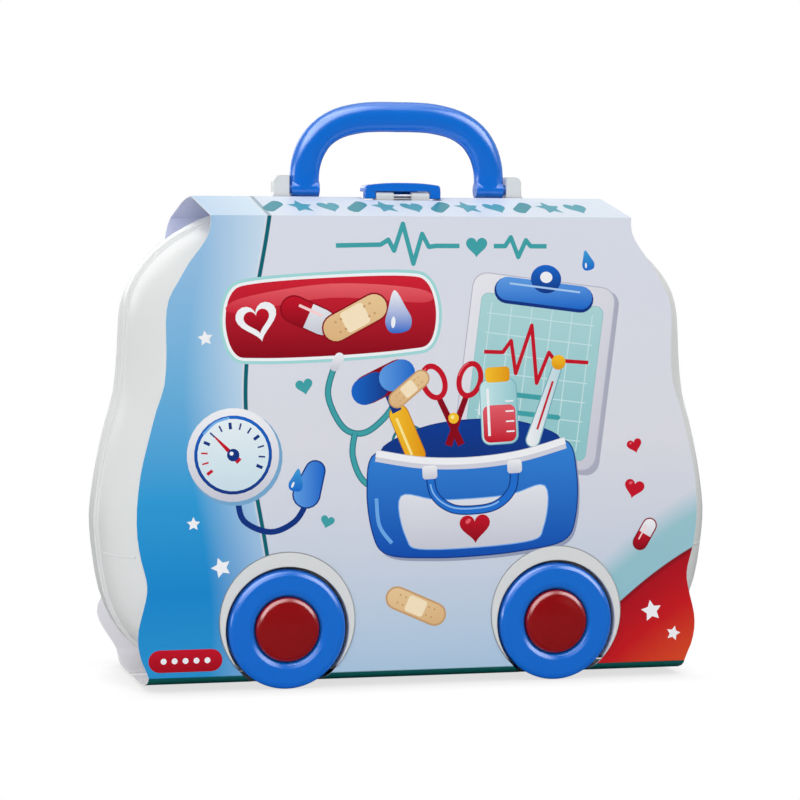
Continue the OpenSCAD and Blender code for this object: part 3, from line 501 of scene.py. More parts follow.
def printed_card(name, side):
    """Card whose print faces -Y (side -1) or +Y (side 1)."""
    finish, tree, shader = new_finish(name)
    x, _, z = parts_of(tree, object_place(tree))
    color = print_colors(tree, x * -side, z)
    # unprinted inside and cut edge, told apart by the way the face looks
    face = add(tree, "ShaderNodeNewGeometry").outputs["Normal"]
    aside, outward, upward = parts_of(tree, face)
    sign = reckon("GREATER_THAN", z, CARD_TURNS) * 2.0 - 1.0
    inside = reckon("LESS_THAN", outward * side + upward * sign, INSIDE_FACES)
    cut = reckon("GREATER_THAN", reckon("ABSOLUTE", aside), CUT_FACES)
    # painted light: the unprinted inside is made lighter toward the bottom, standing in for light
    # bounced up from the floor, and darker and bluer toward the top, standing in for shade
    board = ramp(tree, (z / PRINT_TALL).held(),
                 [(0.0, 250, 248, 252), (0.3, 240, 240, 250), (1.0, 216, 222, 250)])
    color = blend_colors(tree, inside, color, board)
    color = blend_colors(tree, cut, color, rgb(240, 240, 240))
    varnish(tree, shader, color)
    return finish


card_front = printed_card("sleeve_front", -1)
card_back = printed_card("sleeve_back", 1)
print("printed card:", card_front.name, card_back.name)

# %% [markdown]
# ## A drawing kit for the print
# A printed picture is made of flat fields of ink. Each motif here is a few
# outlines in millimetres, laid over each other as a printer's artist stacks
# cut paper. To make them one flat sheet, all outlines go into a constrained
# triangulation, and each triangle takes the ink of the last outline that
# covers it. The ink is a colour attribute on the corners, so it can fade.

# %% Outlines
TAU = 2 * math.pi
CAP_STEPS = 9                # runs in one round end of a bar


def curve_through(points, closed=True, steps=6):
    """A smooth curve through a few points."""
    count = len(points)
    made = []
    for i in range(count if closed else count - 1):
        near = [i + k if closed else min(max(i + k, 0), count - 1) for k in (-1, 0, 1, 2)]
        a, b, c, d = (Vector(points[k % count]) for k in near)
        for step in range(steps):
            u = step / steps
            made.append(0.5 * (2 * b + (c - a) * u + (2 * a - 5 * b + 4 * c - d) * u * u
                               + (3 * b - a - 3 * c + d) * u ** 3))
    return made if closed else made + [Vector(points[-1])]


def spot(x, z, rx, rz=None, lean=0.0, count=32):
    """A disc, or an ellipse that leans by some degrees."""
    rz = rx if rz is None else rz
    c, s = math.cos(math.radians(lean)), math.sin(math.radians(lean))
    turns = [TAU * k / count for k in range(count)]
    return [Vector((x + rx * math.cos(t) * c - rz * math.sin(t) * s,
                    z + rx * math.cos(t) * s + rz * math.sin(t) * c)) for t in turns]


def capsule(x0, z0, x1, z1, r0, r1=None):
    """A bar with round ends, which may taper."""
    r1 = r0 if r1 is None else r1
    way = math.atan2(z1 - z0, x1 - x0)
    half = [way + math.pi / 2 + math.pi * k / CAP_STEPS for k in range(CAP_STEPS + 1)]
    back = [Vector((x0 + r0 * math.cos(t), z0 + r0 * math.sin(t))) for t in half]
    return back + [Vector((x1 - r1 * math.cos(t), z1 - r1 * math.sin(t))) for t in half]


def soft_box(x, z, wide, tall, radius, count=5):
    """A rectangle with round corners, around its middle."""
    made = []
    for quarter, (sx, sz) in enumerate(((1, 1), (-1, 1), (-1, -1), (1, -1))):
        cx, cz = x + sx * (wide / 2 - radius), z + sz * (tall / 2 - radius)
        for k in range(count + 1):
            t = TAU / 4 * (quarter + k / count)
            made.append(Vector((cx + radius * math.cos(t), cz + radius * math.sin(t))))
    return made


def heart_outline(size, count=32):
    """The round heart of playing cards; size is its half width."""
    made = []
    for k in range(count):
        t = TAU * k / count
        tall = 13 * math.cos(t) - 5 * math.cos(2 * t) - 2 * math.cos(3 * t) - math.cos(4 * t)
        made.append(Vector((size * math.sin(t) ** 3, size * tall / 16)))
    return made


def moved(outline, x, z):
    """The same outline, moved aside and up."""
    return [p + Vector((x, z)) for p in outline]


def star_outline(size):
    """A plain star with five points."""
    made = []
    for k, r in enumerate([size, size / 2] * 5):
        t = TAU * k / 10
        made.append(Vector((r * math.sin(t), r * math.cos(t))))
    return made


# %% The sheet that takes the ink
GENTLE = 0.9                 # cosine of the sharpest turn with no round joint


class InkSheet:
    """Stacks inked outlines and makes one flat mesh of them."""

    def __init__(self, origin, right, up):
        self.origin = Vector(origin)
        self.right = Vector(right)
        self.up = Vector(up)
        self.shapes = []
        self.at(0, 0)

    def at(self, x, z, lean=0.0, size=1.0):
        """Moves, leans and sizes what is drawn next, and gives the sheet back."""
        c, s = size * math.cos(math.radians(lean)), size * math.sin(math.radians(lean))
        self.place = lambda p: Vector((x + p[0] * c - p[1] * s, z + p[0] * s + p[1] * c))
        return self

    def fill(self, outline, ink, fade=None, toward=(0, -1)):
        """A field of ink; with fade, it runs to that ink in a direction."""
        placed = [self.place(p) for p in outline]
        area = sum(a.cross(b) for a, b in zip(placed, placed[1:] + placed[:1]))
        if area < 0:
            placed.reverse()
        self.shapes.append((placed, ink, fade or ink, Vector(toward)))

    def line(self, path, width, ink, closed=False):
        """A line of ink; width is a number, or its two widths from start to end."""
        path = [Vector(p) for p in path]
        count = len(path)
        first, last = (width, width) if isinstance(width, (int, float)) else width
        runs = count if closed else count - 1
        ways = [(path[(i + 1) % count] - path[i]).normalized() for i in range(runs)]
        wide = [first + (last - first) * i / max(count - 1, 1) for i in range(count)]

        def across(run, end):
            """Half the width at one end of a run, square to the path there."""
            other = run + (1 if end else -1)
            way = ways[run]
            if closed or 0 <= other < runs:
                beside = ways[other % runs]
                if way.dot(beside) > GENTLE:
                    way = (way + beside).normalized()
            return Vector((-way.y, way.x)) * wide[(run + end) % count] / 2

        for run in range(runs):
            a, b = path[run], path[(run + 1) % count]
            at_a, at_b = across(run, 0), across(run, 1)
            self.fill([a + at_a, a - at_a, b - at_b, b + at_b], ink)
            after = (run + 1) % runs
            if (closed or run + 1 < runs) and ways[run].dot(ways[after]) <= GENTLE:
                self.fill(spot(b.x, b.y, wide[(run + 1) % count] / 2, count=12), ink)

    def framed(self, outline, width, edge, ink, fade=None, toward=(0, -1)):
        """A field of ink with a line round it."""
        self.line(outline, width, edge, closed=True)
        self.fill(outline, ink, fade, toward)

    def build(self, name, finish, body):
        """Cuts the stack into one sheet and lays it on the card."""
        points, faces = [], []
        for outline, _, _, _ in self.shapes:
            faces.append(list(range(len(points), len(points) + len(outline))))
            points.extend(outline)
        flat, _, triangles, _, _, covers = delaunay_2d_cdt(points, [], faces, 1, 1e-4)
        spans = []
        for outline, _, _, toward in self.shapes:
            along = [p.dot(toward) for p in outline]
            spans.append((min(along), max(along)))
        verts = [self.origin + MM * (self.right * p.x + self.up * p.y) for p in flat]
        mesh = bpy.data.meshes.new(name)
        kept, colors = [], []
        outward = self.right.cross(self.up)
        for tri, cover in zip(triangles, covers):
            if not cover:
                continue
            top = max(cover)
            _, ink, fade, toward = self.shapes[top]
            low, high = spans[top]
            order = list(tri)
            a, b, c = (verts[k] for k in order)
            if (b - a).cross(c - a).dot(outward) < 0:
                order.reverse()
            kept.append(order)
            for k in order:
                share = (flat[k].dot(toward) - low) / (high - low) if high > low else 0.0
                share = min(max(share, 0.0), 1.0)
                near, far = rgb(*ink), rgb(*fade)
                colors.extend(n + (f - n) * share for n, f in zip(near, far))
        mesh.from_pydata(verts, [], kept)
        layer = mesh.color_attributes.new("ink", "FLOAT_COLOR", "CORNER")
        layer.data.foreach_set("color", np.array(colors, dtype=np.float32))
        mesh.materials.append(finish)
        obj = link(bpy.data.objects.new(name, mesh))
        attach(obj, body)
        print(name, "outlines:", len(self.shapes), "triangles:", len(kept))


def ink_finish():
    """Varnished ink, whose colour is stored on the sheet."""
    finish, tree, shader = new_finish("print_ink")
    stored = add(tree, "ShaderNodeAttribute", attribute_name="ink")
    varnish(tree, shader, stored.outputs["Color"])
    return finish


ink = ink_finish()

# %% [markdown]
# ## Small motifs
# Hearts, plasters, pills, drops and stars are old nursery ornaments, and they
# come back all over the sleeve. Each is a short function that draws around
# its own middle, so that the sheet can put it anywhere at any lean.

# %% Inks and small motifs
INK_TEAL = (64, 164, 170)
INK_PALE_TEAL = (164, 220, 220)
INK_RED = (200, 16, 40)
INK_DARK_RED = (140, 2, 24)
INK_WHITE = (246, 247, 250)
INK_GREY = (204, 206, 218)
INK_NAVY = (14, 52, 130)
INK_BLUE = (20, 104, 206)
INK_SKY = (96, 160, 232)
INK_YELLOW = (252, 198, 44)
INK_AMBER = (232, 152, 12)
INK_TAN = (238, 204, 154)
INK_PINK = (234, 96, 108)
INK_GLASS = (120, 176, 190)
INK_GLINT = (255, 236, 150)
INK_DEEP_TEAL = (30, 120, 134)


def draw_heart(sheet, size, ink_color=INK_RED, shine=True):
    """A heart with a small shine on its left lobe."""
    sheet.fill(heart_outline(size), ink_color)
    if shine:
        sheet.fill(spot(-0.45 * size, 0.38 * size, 0.2 * size, 0.13 * size, 35), INK_PINK)


def draw_plaster(sheet, half, wide, edge=INK_DARK_RED):
    """A sticking plaster with its pad and air holes."""
    sheet.fill(capsule(-half, 0, half, 0, wide + 0.8), edge)
    sheet.fill(capsule(-half, 0, half, 0, wide), INK_TAN, (226, 184, 130))
    sheet.fill(soft_box(0, 0, 2 * wide, 1.7 * wide, 0.3 * wide), (252, 232, 196))
    for x in (-1, 1):
        for dx in (0.62, 0.9):
            for dz in (-0.42, 0.42):
                sheet.fill(spot(x * half * dx, dz * wide, 0.1 * wide, count=10), (204, 158, 108))


def draw_pill(sheet, half, wide):
    """A two-coloured capsule with a shine."""
    sheet.fill(capsule(-half, 0, half, 0, wide + 0.7), INK_DARK_RED)
    sheet.fill(capsule(-half, 0, half, 0, wide), INK_WHITE, INK_GREY)
    left_end = capsule(-half, 0, half, 0, wide)[:CAP_STEPS + 1]
    sheet.fill(left_end + [Vector((0, -wide)), Vector((0, wide))], INK_RED, INK_DARK_RED)
    shine = [(-0.8 * half, 0.45 * wide), (0.8 * half, 0.45 * wide)]
    sheet.line(shine, 0.22 * wide, (255, 214, 214))


def draw_drop(sheet, size, ink_color=(60, 160, 220)):
    """A drop of medicine."""
    shape = curve_through([(0, 1.5), (0.55, 0.4), (0.8, -0.35), (0.5, -0.95),
                           (-0.5, -0.95), (-0.8, -0.35), (-0.55, 0.4)])
    sheet.fill([p * size for p in shape], ink_color, INK_BLUE)
    sheet.fill(spot(-0.32 * size, -0.35 * size, 0.13 * size, 0.34 * size, -12, 14), INK_WHITE)


def draw_pulse(sheet, width):
    """A pulse line with a heart in it."""
    trace = [(-54, 0), (-31, 0.5), (-27, 3), (-24, -2.5), (-19.5, 11), (-14, -9), (-9.5, 6),
             (-6, -0.5), (-2, 0), (10, 0)]
    after = [(28, 0), (34, 0), (37, 4.5), (41, -5.5), (45, 3), (47.5, 0), (56, 0)]
    for path in (trace, after):
        sheet.line(path, width, INK_TEAL)
    sheet.fill(moved(heart_outline(5.6), 19, 0), INK_TEAL)


# %% [markdown]
# ## Large motifs
# The sleeve tells a child what is inside: a bag with a doctor's things, a
# chart on a clip board, a listening tube and a gauge. They are drawn from the
# back to the front, with a lighter and a darker ink for roundness.

# %% Chart on a clip board
def draw_chart(sheet):
    """A clip board about 84 wide and 104 tall."""
    sheet.fill(soft_box(1.5, -2, 87, 106, 8), (176, 178, 196))
    sheet.framed(soft_box(0, 0, 84, 104, 8), 1.2, (190, 190, 206), (236, 236, 242),
                 (208, 208, 221), (1, -1))
    sheet.framed(soft_box(0, -3, 72, 88, 4), 0.8, (150, 200, 204), (176, 218, 220), (146, 202, 206))
    for row in range(7):
        sheet.line([(-32, 30 - 11 * row), (32, 30 - 11 * row)], 0.6, (204, 232, 234))
    for column in range(6):
        sheet.line([(-30 + 12 * column, 36), (-30 + 12 * column, -42)], 0.6, (204, 232, 234))
    trace = [(-31, 8), (-20, 9), (-16, 16), (-11, -2), (-5, 26), (2, -6), (7, 12), (11, 8), (31, 9)]
    sheet.line(trace, 2.2, INK_RED)
    for row, tick in enumerate((INK_RED, INK_BLUE, INK_RED)):
        z = -14 - 10 * row
        sheet.framed(soft_box(-26, z, 7, 7, 1.4), 0.9, INK_WHITE, (214, 238, 240))
        sheet.line([(-28.4, z + 0.4), (-26.4, z - 2), (-22, z + 4)], 1.5, tick)
        sheet.fill(capsule(-17, z, 8 + 9 * (row % 2), z, 1.4), INK_TEAL)
    sheet.fill(capsule(-22, 44, 22, 44, 7.5), INK_NAVY)
    sheet.fill(capsule(-22, 45, 22, 45, 6.6), INK_SKY, INK_BLUE)
    sheet.fill(spot(0, 53, 9, 8), INK_BLUE, INK_NAVY)
    sheet.fill(spot(0, 54, 3.6, 3.2), INK_WHITE)
    sheet.line([(-21, 48), (21, 48)], 1.1, (170, 206, 244))


# %% Bag with a doctor's things
def draw_grip(sheet, x, z, lean_x, length, radius=6.2):
    """A yellow handle that leans out of the bag."""
    end = (x + lean_x, z + length)
    sheet.fill(capsule(x, z, *end, radius + 0.5), (196, 120, 8))
    sheet.fill(capsule(x, z, *end, radius), INK_YELLOW, INK_AMBER, (1, 0))
    start = Vector((x - 0.42 * radius, z))
    sheet.line([start, start + 0.92 * Vector((lean_x, length))], 1.5, INK_GLINT)


def draw_snips(sheet, x, z):
    """The two rings of a pair of safety scissors and their pivot."""
    for way in (-1, 1):
        sheet.line([(x + 9 * way, z + 14), (x - 4 * way, z - 16)], (3.4, 4.4), INK_DARK_RED)
        sheet.line(spot(x + 11 * way, z + 22, 6.4, 9.6, -18 * way), 3.2, INK_RED, closed=True)
        sheet.line(spot(x + 10.4 * way, z + 22.6, 6.4, 9.6, -18 * way)[10:17], 0.8, INK_PINK)
    sheet.fill(spot(x, z, 3.2), INK_YELLOW)
    sheet.fill(spot(x - 0.6, z + 0.6, 1.2, count=12), INK_GLINT)


def draw_bag(sheet):
    """A bag about 130 wide and 75 tall, with things that stand out of it."""
    back = curve_through([(-54, 30), (-30, 41), (0, 44), (30, 41),
                          (54, 30), (30, 24), (0, 22), (-30, 24)])
    sheet.framed(back, 1.6, INK_NAVY, (8, 60, 150), INK_NAVY)
    # a mallet, a feeding bottle of medicine, scissors and a thermometer
    draw_grip(sheet, -34, 26, -9, 24, 5.6)
    sheet.line([(-44, 52), (-50, 66)], (6, 4.6), INK_NAVY)
    sheet.fill(capsule(-61, 66, -42, 74, 8.6), INK_DARK_RED)
    sheet.fill(capsule(-63, 65, -56, 68, 8.0), INK_BLUE, INK_NAVY, (1, 0))
    sheet.fill(capsule(-46, 72, -40, 74.5, 8.0), INK_SKY, INK_BLUE, (1, 0))
    draw_snips(sheet, -10, 46)
    sheet.framed(soft_box(18, 48, 22, 38, 5), 1.0, INK_GLASS, (206, 238, 240),
                 (150, 206, 212), (1, 0))
    sheet.fill(soft_box(18, 41, 20, 22, 4), INK_PINK, INK_RED)
    sheet.fill(soft_box(18, 70, 15, 9, 2.5), INK_YELLOW, INK_AMBER, (1, 0))
    for row in range(4):
        sheet.line([(22, 36 + 6 * row), (27, 36 + 6 * row)], 0.9, INK_WHITE)
    sheet.line([(11.5, 34), (11.5, 62)], 1.6, INK_WHITE)
    sheet.fill(capsule(38, 30, 55, 72, 4.6, 3.2), INK_GLASS)
    sheet.fill(capsule(38, 30, 55, 72, 3.9, 2.5), INK_WHITE, (190, 220, 228), (1, 0))
    sheet.line([(41, 36), (52, 64)], 1.3, INK_RED)
    sheet.fill(spot(56, 75, 4.4), INK_YELLOW, INK_AMBER)
    # the bag's front
    front = curve_through([(-58, 28), (-64, 8), (-62, -18), (-54, -31), (-28, -35),
                           (0, -36), (28, -35), (54, -31), (62, -18), (64, 8), (58, 28),
                           (30, 22), (0, 20), (-30, 22)])
    sheet.fill(moved(front, 1.5, -2.5), (150, 160, 186))
    sheet.framed(front, 1.4, INK_NAVY, (52, 134, 220), (8, 78, 178))
    pocket = curve_through([(-44, 2), (-20, -2), (20, -2), (44, 2),
                            (42, -22), (30, -30), (-30, -30), (-42, -22)])
    sheet.framed(pocket, 1.2, (120, 176, 236), (232, 234, 241), INK_GREY)
    rim = [(-58, 27), (-30, 21), (0, 19), (30, 21), (58, 27)]
    sheet.line(curve_through(rim, False), 7, (214, 215, 226))
    sheet.line(curve_through([(x, z + 1.2) for x, z in rim], False), 3.8, INK_WHITE)
    strap = curve_through([(-26, 17), (-24, 2), (-14, -7), (0, -9),
                           (14, -7), (24, 2), (26, 17)], False)
    sheet.line(strap, 5.6, INK_NAVY)
    sheet.line(strap, 4.2, (30, 112, 210))
    sheet.line(moved(strap[4:26], -0.6, 0.9), 0.9, (140, 190, 242))
    for x in (-26, 26):
        sheet.fill(soft_box(x, 15, 9, 8, 2), INK_WHITE, INK_GREY)
    sheet.fill(moved(heart_outline(9.4), 0, -19), INK_RED, INK_DARK_RED)
    sheet.fill(spot(-4, -15.5, 1.9, 1.2, 35, 14), INK_PINK)
    sheet.line(curve_through([(-59, 2), (-58, -14), (-51, -25)], False), 2.2, (110, 172, 236))


# %% Listening tube and gauge
def draw_tube(sheet):
    """A toy stethoscope, about 70 tall."""
    yoke = curve_through([(-17, 34), (-18, 18), (-9, 4), (0, 0), (9, 4), (18, 18), (17, 34)], False)
    hose = curve_through([(0, 0), (1, -12), (9, -24), (22, -27), (30, -18), (30, -8)], False)
    for path in (yoke, hose):
        sheet.line(path, 3.4, INK_DEEP_TEAL)
        sheet.line(path, 2.3, INK_TEAL)
    for x in (-17, 17):
        sheet.fill(capsule(x, 33, x * 0.9, 38, 2.6), INK_WHITE, INK_GREY)
    sheet.fill(spot(30, 0, 9.6), INK_DEEP_TEAL)
    sheet.fill(spot(30, 0, 8.2), INK_WHITE, INK_GREY)
    sheet.fill(moved(heart_outline(4.2), 30, -0.4), INK_RED)


def draw_gauge(sheet):
    """A round gauge with tick marks, its hose and its bulb; about 52 wide."""
    hose = curve_through([(0, -22), (2, -36), (16, -44), (30, -40), (38, -30)], False)
    sheet.line(hose, 3.2, INK_NAVY)
    sheet.fill(capsule(38, -26, 44, -14, 8.0, 6.0), INK_NAVY)
    sheet.fill(capsule(38, -26, 44, -14, 7.2, 5.2), INK_SKY, INK_BLUE, (1, 0))
    sheet.fill(spot(1, -1.6, 26), (120, 170, 210))
    sheet.fill(spot(0, 0, 25.4), INK_WHITE, INK_GREY)
    sheet.fill(spot(0, 0, 21.4), INK_BLUE, INK_NAVY)
    sheet.fill(spot(0, 0, 19.6), (236, 246, 250), (206, 228, 238))
    for k in range(13):
        t = math.radians(-30 + 20 * k)
        ray = Vector((math.cos(t), math.sin(t)))
        wide = 0.9 if k % 3 else 1.7
        sheet.line([ray * 14, ray * 17.6], wide, INK_RED if k > 9 else INK_NAVY)
    sheet.line([(3, -4), (-9, 11)], (3.4, 0.8), INK_RED)
    sheet.fill(spot(0, 0, 3.4), INK_NAVY)
    sheet.fill(spot(-0.8, 0.9, 1.1, count=12), INK_WHITE)
    shine = curve_through([(-15, 13), (-8, 18.4), (0, 20.2)], False)
    sheet.line(shine, 1.2, (120, 180, 236))


# %% Red banner
def draw_banner(sheet):
    """A round-ended red banner with a pale rim and a shine, 104 wide."""
    shape = curve_through([(-50, 15), (-38, 19), (0, 20), (38, 19), (50, 15), (54, 0),
                           (50, -15), (38, -18), (0, -19), (-38, -18), (-50, -15), (-54, 0)])
    sheet.line(shape, 6, INK_PALE_TEAL, closed=True)
    sheet.line(shape, 3, INK_WHITE, closed=True)
    sheet.fill(shape, (214, 32, 52), INK_DARK_RED)
    shine = curve_through([(-46, 12), (0, 17), (46, 12), (48, 5), (0, 10), (-49, 5)])
    sheet.fill(shine, (236, 96, 104), (208, 34, 56))


print("motifs ready")

# %% [markdown]
# ## The front panel's picture
# The motifs are laid out around the wavy blue field: a pulse line along the
# top, a banner, the gauge and the listening tube on the left, the chart and
# the bag on the right. The sheet lies a hair in front of the card, so that the
# two never show through each other.

# %% Front picture
CARD_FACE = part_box("lid_sleeve")[0][1]
PRINT_LIFT = 0.03 * MM
print("front card at y =", round(CARD_FACE, 5))


def draw_all(sheet, places):
    """Draws motifs where they belong: kind, x, z, lean and size."""
    for kind, x, z, lean, size in places:
        kind(sheet.at(x, z, lean, size))


def small_heart(sheet):
    draw_heart(sheet, 4.5)


def teal_heart(sheet):
    draw_heart(sheet, 4.0, INK_TEAL, False)


def white_star(sheet):
    sheet.fill(star_outline(4.4), INK_WHITE)


def small_plaster(sheet):
    draw_plaster(sheet, 9, 4.2, (206, 160, 110))


def small_pill(sheet):
    draw_pill(sheet, 5, 3.4)


def small_drop(sheet):
    draw_drop(sheet, 4.6)


front = InkSheet((0, CARD_FACE - PRINT_LIFT, 0), (1, 0, 0), (0, 0, 1))
draw_pulse(front.at(8, 222), 2.3)
draw_all(front, [(draw_chart, 58, 158, -7, 0.9), (draw_banner, -48, 186, 3, 1)])
draw_heart(front.at(-86, 185, 14), 10.5, INK_WHITE, False)
front.fill(heart_outline(6.6), INK_RED, INK_DARK_RED)
draw_pill(front.at(-60, 187, -24), 8, 6.4)
draw_plaster(front.at(-36, 186, 28), 11, 6.6)
draw_drop(front.at(-14, 187, 8), 8.6, INK_WHITE)
draw_all(front, [
    (draw_gauge, -98, 118, 6, 0.92), (draw_tube, -36, 128, -10, 0.95),
    (draw_bag, 26, 96, 3, 0.86),
    (teal_heart, -62, 152, 12, 1.1), (small_plaster, -8, 150, 40, 0.9),
    (small_drop, -66, 104, -10, 1.0), (small_heart, 112, 98, -14, 1.2),
    (small_pill, 118, 74, 60, 1.0), (white_star, -112, 176, 8, 0.9),
    (white_star, -104, 62, 20, 1.2), (white_star, -118, 84, 0, 0.8),
    (teal_heart, -50, 84, -16, 0.9), (small_plaster, -4, 40, -24, 1.2),
    (small_drop, 86, 214, 14, 0.9), (white_star, 122, 34, 10, 1.3),
    (white_star, 134, 22, -14, 0.9), (small_heart, 112, 120, 16, 0.9),
])
front.at(-122, 16)
front.fill(capsule(-13, 0, 13, 0, 5.6), INK_RED, (168, 4, 26))
for k in range(5):
    front.fill(spot(-11 + 5.5 * k, 0, 1.5, count=14), INK_WHITE)
front.build("front_print", ink, "lid")

# %% [markdown]
# ## Roof and back
# The roof strip carries a row of teal hearts, pills and stars. They are drawn
# tall, because the roof is seen at a low angle, which makes them look short
# again. The rear roof is bowed and stays plain. The back panel isn't seen in
# the picture, so it gets a quiet sheet of its own.

# %% Roof strip and back picture
ROOF_TALL = 2.5              # how many times as tall the roof's shapes are drawn
ROOF_STEP = 14.6             # millimetres from one shape to the next
roof_low = Vector((0, CARD_FACE, 236.8 * MM))
roof_high = Vector((0, -0.3 * MM, 247.2 * MM))
slope = (roof_high - roof_low).normalized()
roof_face = Vector((1, 0, 0)).cross(slope)
roof = InkSheet(roof_low + roof_face * PRINT_LIFT, (1, 0, 0), slope * ROOF_TALL)
for k in range(-5, 7):
    roof.at(ROOF_STEP * k, 10)
    if k % 3 == 0:
        roof.fill(heart_outline(5.6), (76, 160, 176))
    elif k % 3 == 1:
        roof.fill(capsule(-3.6, -3, 3.6, 3, 2.9), (52, 142, 156))
    else:
        roof.fill(star_outline(6.6), (76, 160, 176))
roof.build("roof_print", ink, "lid")

back = InkSheet((0, -CARD_FACE + PRINT_LIFT, 0), (-1, 0, 0), (0, 0, 1))
draw_pulse(back.at(8, 216, 0, 1.1), 2.2)
draw_all(back, [
    (draw_banner, 6, 160, 0, 1.05), (small_heart, -39, 160, 16, 1.15),
    (small_pill, -13, 160, 4, 1.15), (small_plaster, 13, 160, -8, 1.15),
    (small_drop, 39, 160, -20, 1.15), (draw_gauge, -98, 120, -4, 0.8),
    (draw_tube, 60, 96, 8, 0.9),
    (teal_heart, -40, 118, 10, 1.5), (small_pill, 4, 112, -30, 1.3),
    (small_plaster, 104, 150, 70, 1.2), (small_drop, -66, 76, 0, 1.3),
    (small_heart, -6, 74, -12, 1.5), (teal_heart, 24, 66, 20, 1.2),
    (white_star, -112, 60, 12, 1.4), (white_star, 126, 30, 0, 1.3),
    (small_pill, 112, 96, 50, 1.2),
])
back.build("back_print", ink, "base")

# %% [markdown]
# ## Checked boards inside
# The floor boards of the insert and the lid's backdrop are printed card with
# a gingham check: two sets of stripes, one across and one up, whose inks add
# up where they cross, as dyed threads do.

# %% Checked boards
CHECK = 7 * MM               # how wide one stripe is


def gingham(name, color):
    """A checked card of one ink on white."""
    finish, tree, shader = new_finish(name)
    x, _, z = parts_of(tree, object_place(tree))
    across, up = (reckon("FRACT", place / (2 * CHECK)) for place in (x, z))
    stripes = reckon("GREATER_THAN", across, 0.5) + reckon("GREATER_THAN", up, 0.5)
    checked = blend_colors(tree, stripes * 0.5, rgb(240, 242, 246), color)
    varnish(tree, shader, checked, 0.4, 0.1)
    return finish


red_check = gingham("red_check", rgb(206, 40, 52))
teal_check = gingham("teal_check", rgb(52, 150, 160))
blue_check = gingham("blue_check", rgb(70, 140, 214))
print("checked boards:", red_check.name, teal_check.name, blue_check.name)

# %% [markdown]
# ## Finishes on the frame's nodes
# A node keeps its shape and place; it only gets a finish here. The shells,
# the handle and the card are made of narrow flat strips. One small tree of
# Geometry Nodes shades across their gentle edges as if they were round, and
# keeps every edge sharper than its angle crisp.

# %% Dress the nodes
# A finish goes to the nodes whose names start like this, and blue to all others.
BY_FINISH = (
    (white, ("base_shell", "lid_shell")),
    (steel, ("hinge_pin", "latch_pin", "axle")),
    (teal, ("side_tray", "syringe_barrel")),
    (yellow, ("syringe_plunger", "otoscope_handle", "hammer_grip", "mirror_grip",
              "thermometer", "forceps_rivet", "scissors_rivet")),
    (red, ("hammer_ring", "play_glasses", "ear_tip", "forceps_arm", "scissors_blade",
           "hub_cap")),
    (card_front, "lid_sleeve"),
    (card_back, "base_sleeve"),
    (red_check, "floor_card_left"),
    (teal_check, "floor_card_right"),
    (blue_check, "backdrop_card"),
)
for node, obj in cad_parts.items():
    finish = next((look for look, starts in BY_FINISH if node.startswith(starts)), blue)
    obj.data.materials.clear()
    obj.data.materials.append(finish)
print("dressed:", len(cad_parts))


# %% Shade across gentle edges
SHARP_ABOVE = math.radians(26)


def soft_facets():
    """A tree that shades smoothly over edges gentler than an angle."""
    tree, given, made = new_group(
        "GeometryNodeTree", "soft_facets",
        (("Geometry", "Geometry", None), ("Sharp above", "Float", SHARP_ABOVE)),
        (("Geometry", "Geometry"),))
    bare = add(tree, "GeometryNodeRemoveAttribute", {"Name": "custom_normal"})
    joined = add(tree, "GeometryNodeMergeByDistance", {"Distance": 0.002 * MM})
    smooth = add(tree, "GeometryNodeSetShadeSmooth")
    turn = add(tree, "GeometryNodeInputMeshEdgeAngle").outputs["Unsigned Angle"]
    angles = {0: turn, 1: given.outputs["Sharp above"]}
    steep = add(tree, "FunctionNodeCompare", angles, operation="GREATER_THAN").outputs[0]
    edges = {"Shade Smooth": False, "Selection": steep}
    crisp = add(tree, "GeometryNodeSetShadeSmooth", edges, domain="EDGE")
    link_in_turn(tree, [given, bare, joined, smooth, crisp, made])
    return tree


facets = soft_facets()
SOFTENED = ("base_shell", "lid_shell", "carry_handle", "latch_tab", "base_sleeve", "lid_sleeve")
for node in SOFTENED:
    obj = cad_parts[node]
    obj.modifiers.new("soft_facets", "NODES").node_group = facets
    weigh = obj.modifiers.new("flat_faces_lead", "WEIGHTED_NORMAL")
    weigh.keep_sharp = True
print("shaded softly:", len(SOFTENED))

# %% [markdown]
# ## Beads along the seam
# Each half of the case has a rounded bead on its wall, beside the flat band at
# the seam. It stiffens the thin wall and hides the way the halves shrink. Its
# path is found by rays from outside, then a tree of Geometry Nodes sweeps a
# round rod along it. The rod lies mostly in the wall, so a low bead shows.
# A finer line runs across the lid's side walls, where two mould parts met.

# %% Bead tree
ROD_SIDES = 14


def bead_tree():
    """Sweeps a round rod along the edges of a mesh."""
    tree, given, made = new_group(
        "GeometryNodeTree", "bead",
        (("Geometry", "Geometry", None), ("Radius", "Float", None), ("Finish", "Material", None)),
        (("Geometry", "Geometry"),))
    path = add(tree, "GeometryNodeMeshToCurve")
    size = {"Resolution": ROD_SIDES, "Radius": given.outputs["Radius"]}
    rod = add(tree, "GeometryNodeCurvePrimitiveCircle", size).outputs["Curve"]
    sweep = add(tree, "GeometryNodeCurveToMesh", {"Fill Caps": True, "Profile Curve": rod})
    real = add(tree, "GeometryNodeRealizeInstances")
    smooth = add(tree, "GeometryNodeSetShadeSmooth")
    dress = add(tree, "GeometryNodeSetMaterial", {"Material": given.outputs["Finish"]})
    link_in_turn(tree, [given, path, sweep, real, smooth, dress, made])
    return tree


BEAD_TREE = bead_tree()


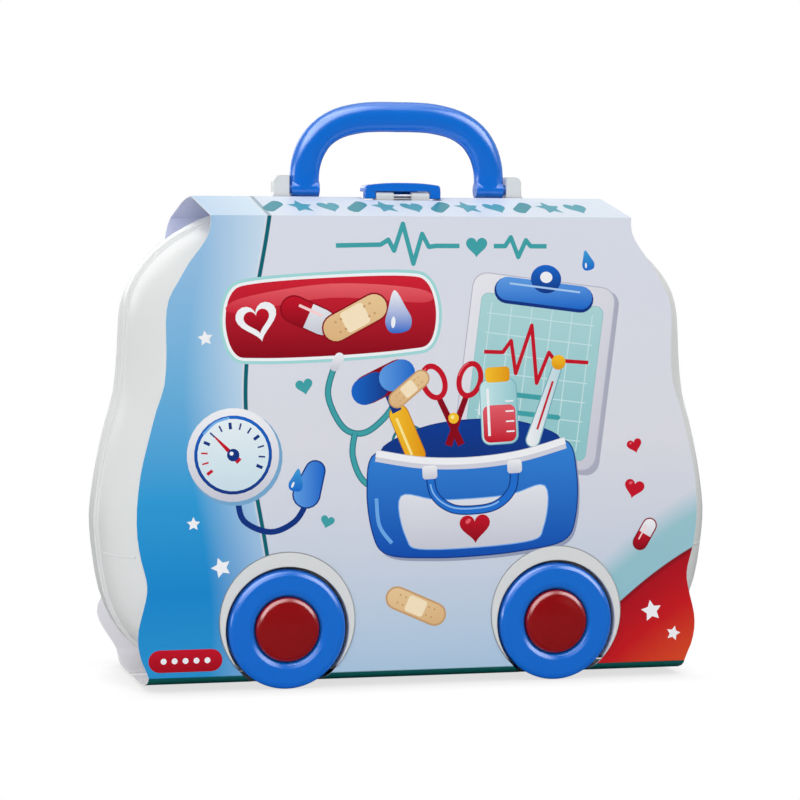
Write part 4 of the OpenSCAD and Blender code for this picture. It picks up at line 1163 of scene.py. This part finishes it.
def bead(name, path, radius, closed, body):
    """A bead along a path of points, as a plain mesh that rides on a body."""
    count = len(path)
    edges = [(k, (k + 1) % count) for k in range(count if closed else count - 1)]
    mesh = bpy.data.meshes.new(name + "_path")
    mesh.from_pydata(path, edges, [])
    guide = link(bpy.data.objects.new(name + "_path", mesh))
    sweep = guide.modifiers.new("bead", "NODES")
    sweep.node_group = BEAD_TREE
    sockets = {item.name: item.identifier for item in BEAD_TREE.interface.items_tree
               if item.in_out == "INPUT"}
    sweep[sockets["Radius"]] = radius
    sweep[sockets["Finish"]] = white
    now = guide.evaluated_get(bpy.context.evaluated_depsgraph_get())
    plain = bpy.data.meshes.new_from_object(now)
    plain.name = name
    bpy.data.objects.remove(guide)
    obj = link(bpy.data.objects.new(name, plain))
    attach(obj, body)
    print(name, "points:", count, "faces:", len(plain.polygons))


# %% Paths and beads
BEAD_RADIUS = 1.35 * MM
BEAD_SUNK = 0.75 * MM        # how deep the rod's middle lies under the wall's face
BEAD_FROM_SEAM = 13.2 * MM
CASE_MIDDLE = 125 * MM
MOULD_LINE_HIGH = 67.5 * MM
MOULD_LINE_PROUD = 0.16 * MM
MOULD_LINE_DEPTHS = [-(14 + 3 * k) * MM for k in range(12)]
OUTSIDE = 0.4                # metres out from the middle, where a ray starts


def wall_hit(node, start, way):
    """Where a ray from outside meets a node, a little under its face."""
    hit, place, _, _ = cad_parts[node].ray_cast(start, way)
    return place + way * BEAD_SUNK if hit else None


def around(node, y, count=300):
    """A closed path under the outer wall of a shell, at one depth."""
    path = []
    for k in range(count):
        out = Vector((math.cos(TAU * k / count), 0, math.sin(TAU * k / count)))
        place = wall_hit(node, Vector((0, y, CASE_MIDDLE)) + out * OUTSIDE, -out)
        if place:
            path.append(place)
    return path


for node, body, side in (("lid_shell", "lid", -1), ("base_shell", "base", 1)):
    bead(body + "_bead", around(node, side * BEAD_FROM_SEAM), BEAD_RADIUS, True, body)
for label, side in (("left", -1), ("right", 1)):
    starts = [Vector((side * OUTSIDE, y, MOULD_LINE_HIGH)) for y in MOULD_LINE_DEPTHS]
    line = [wall_hit("lid_shell", start, Vector((-side, 0, 0))) for start in starts]
    path = [place for place in line if place]
    bead("mould_line_" + label, path, BEAD_SUNK + MOULD_LINE_PROUD, False, "lid")
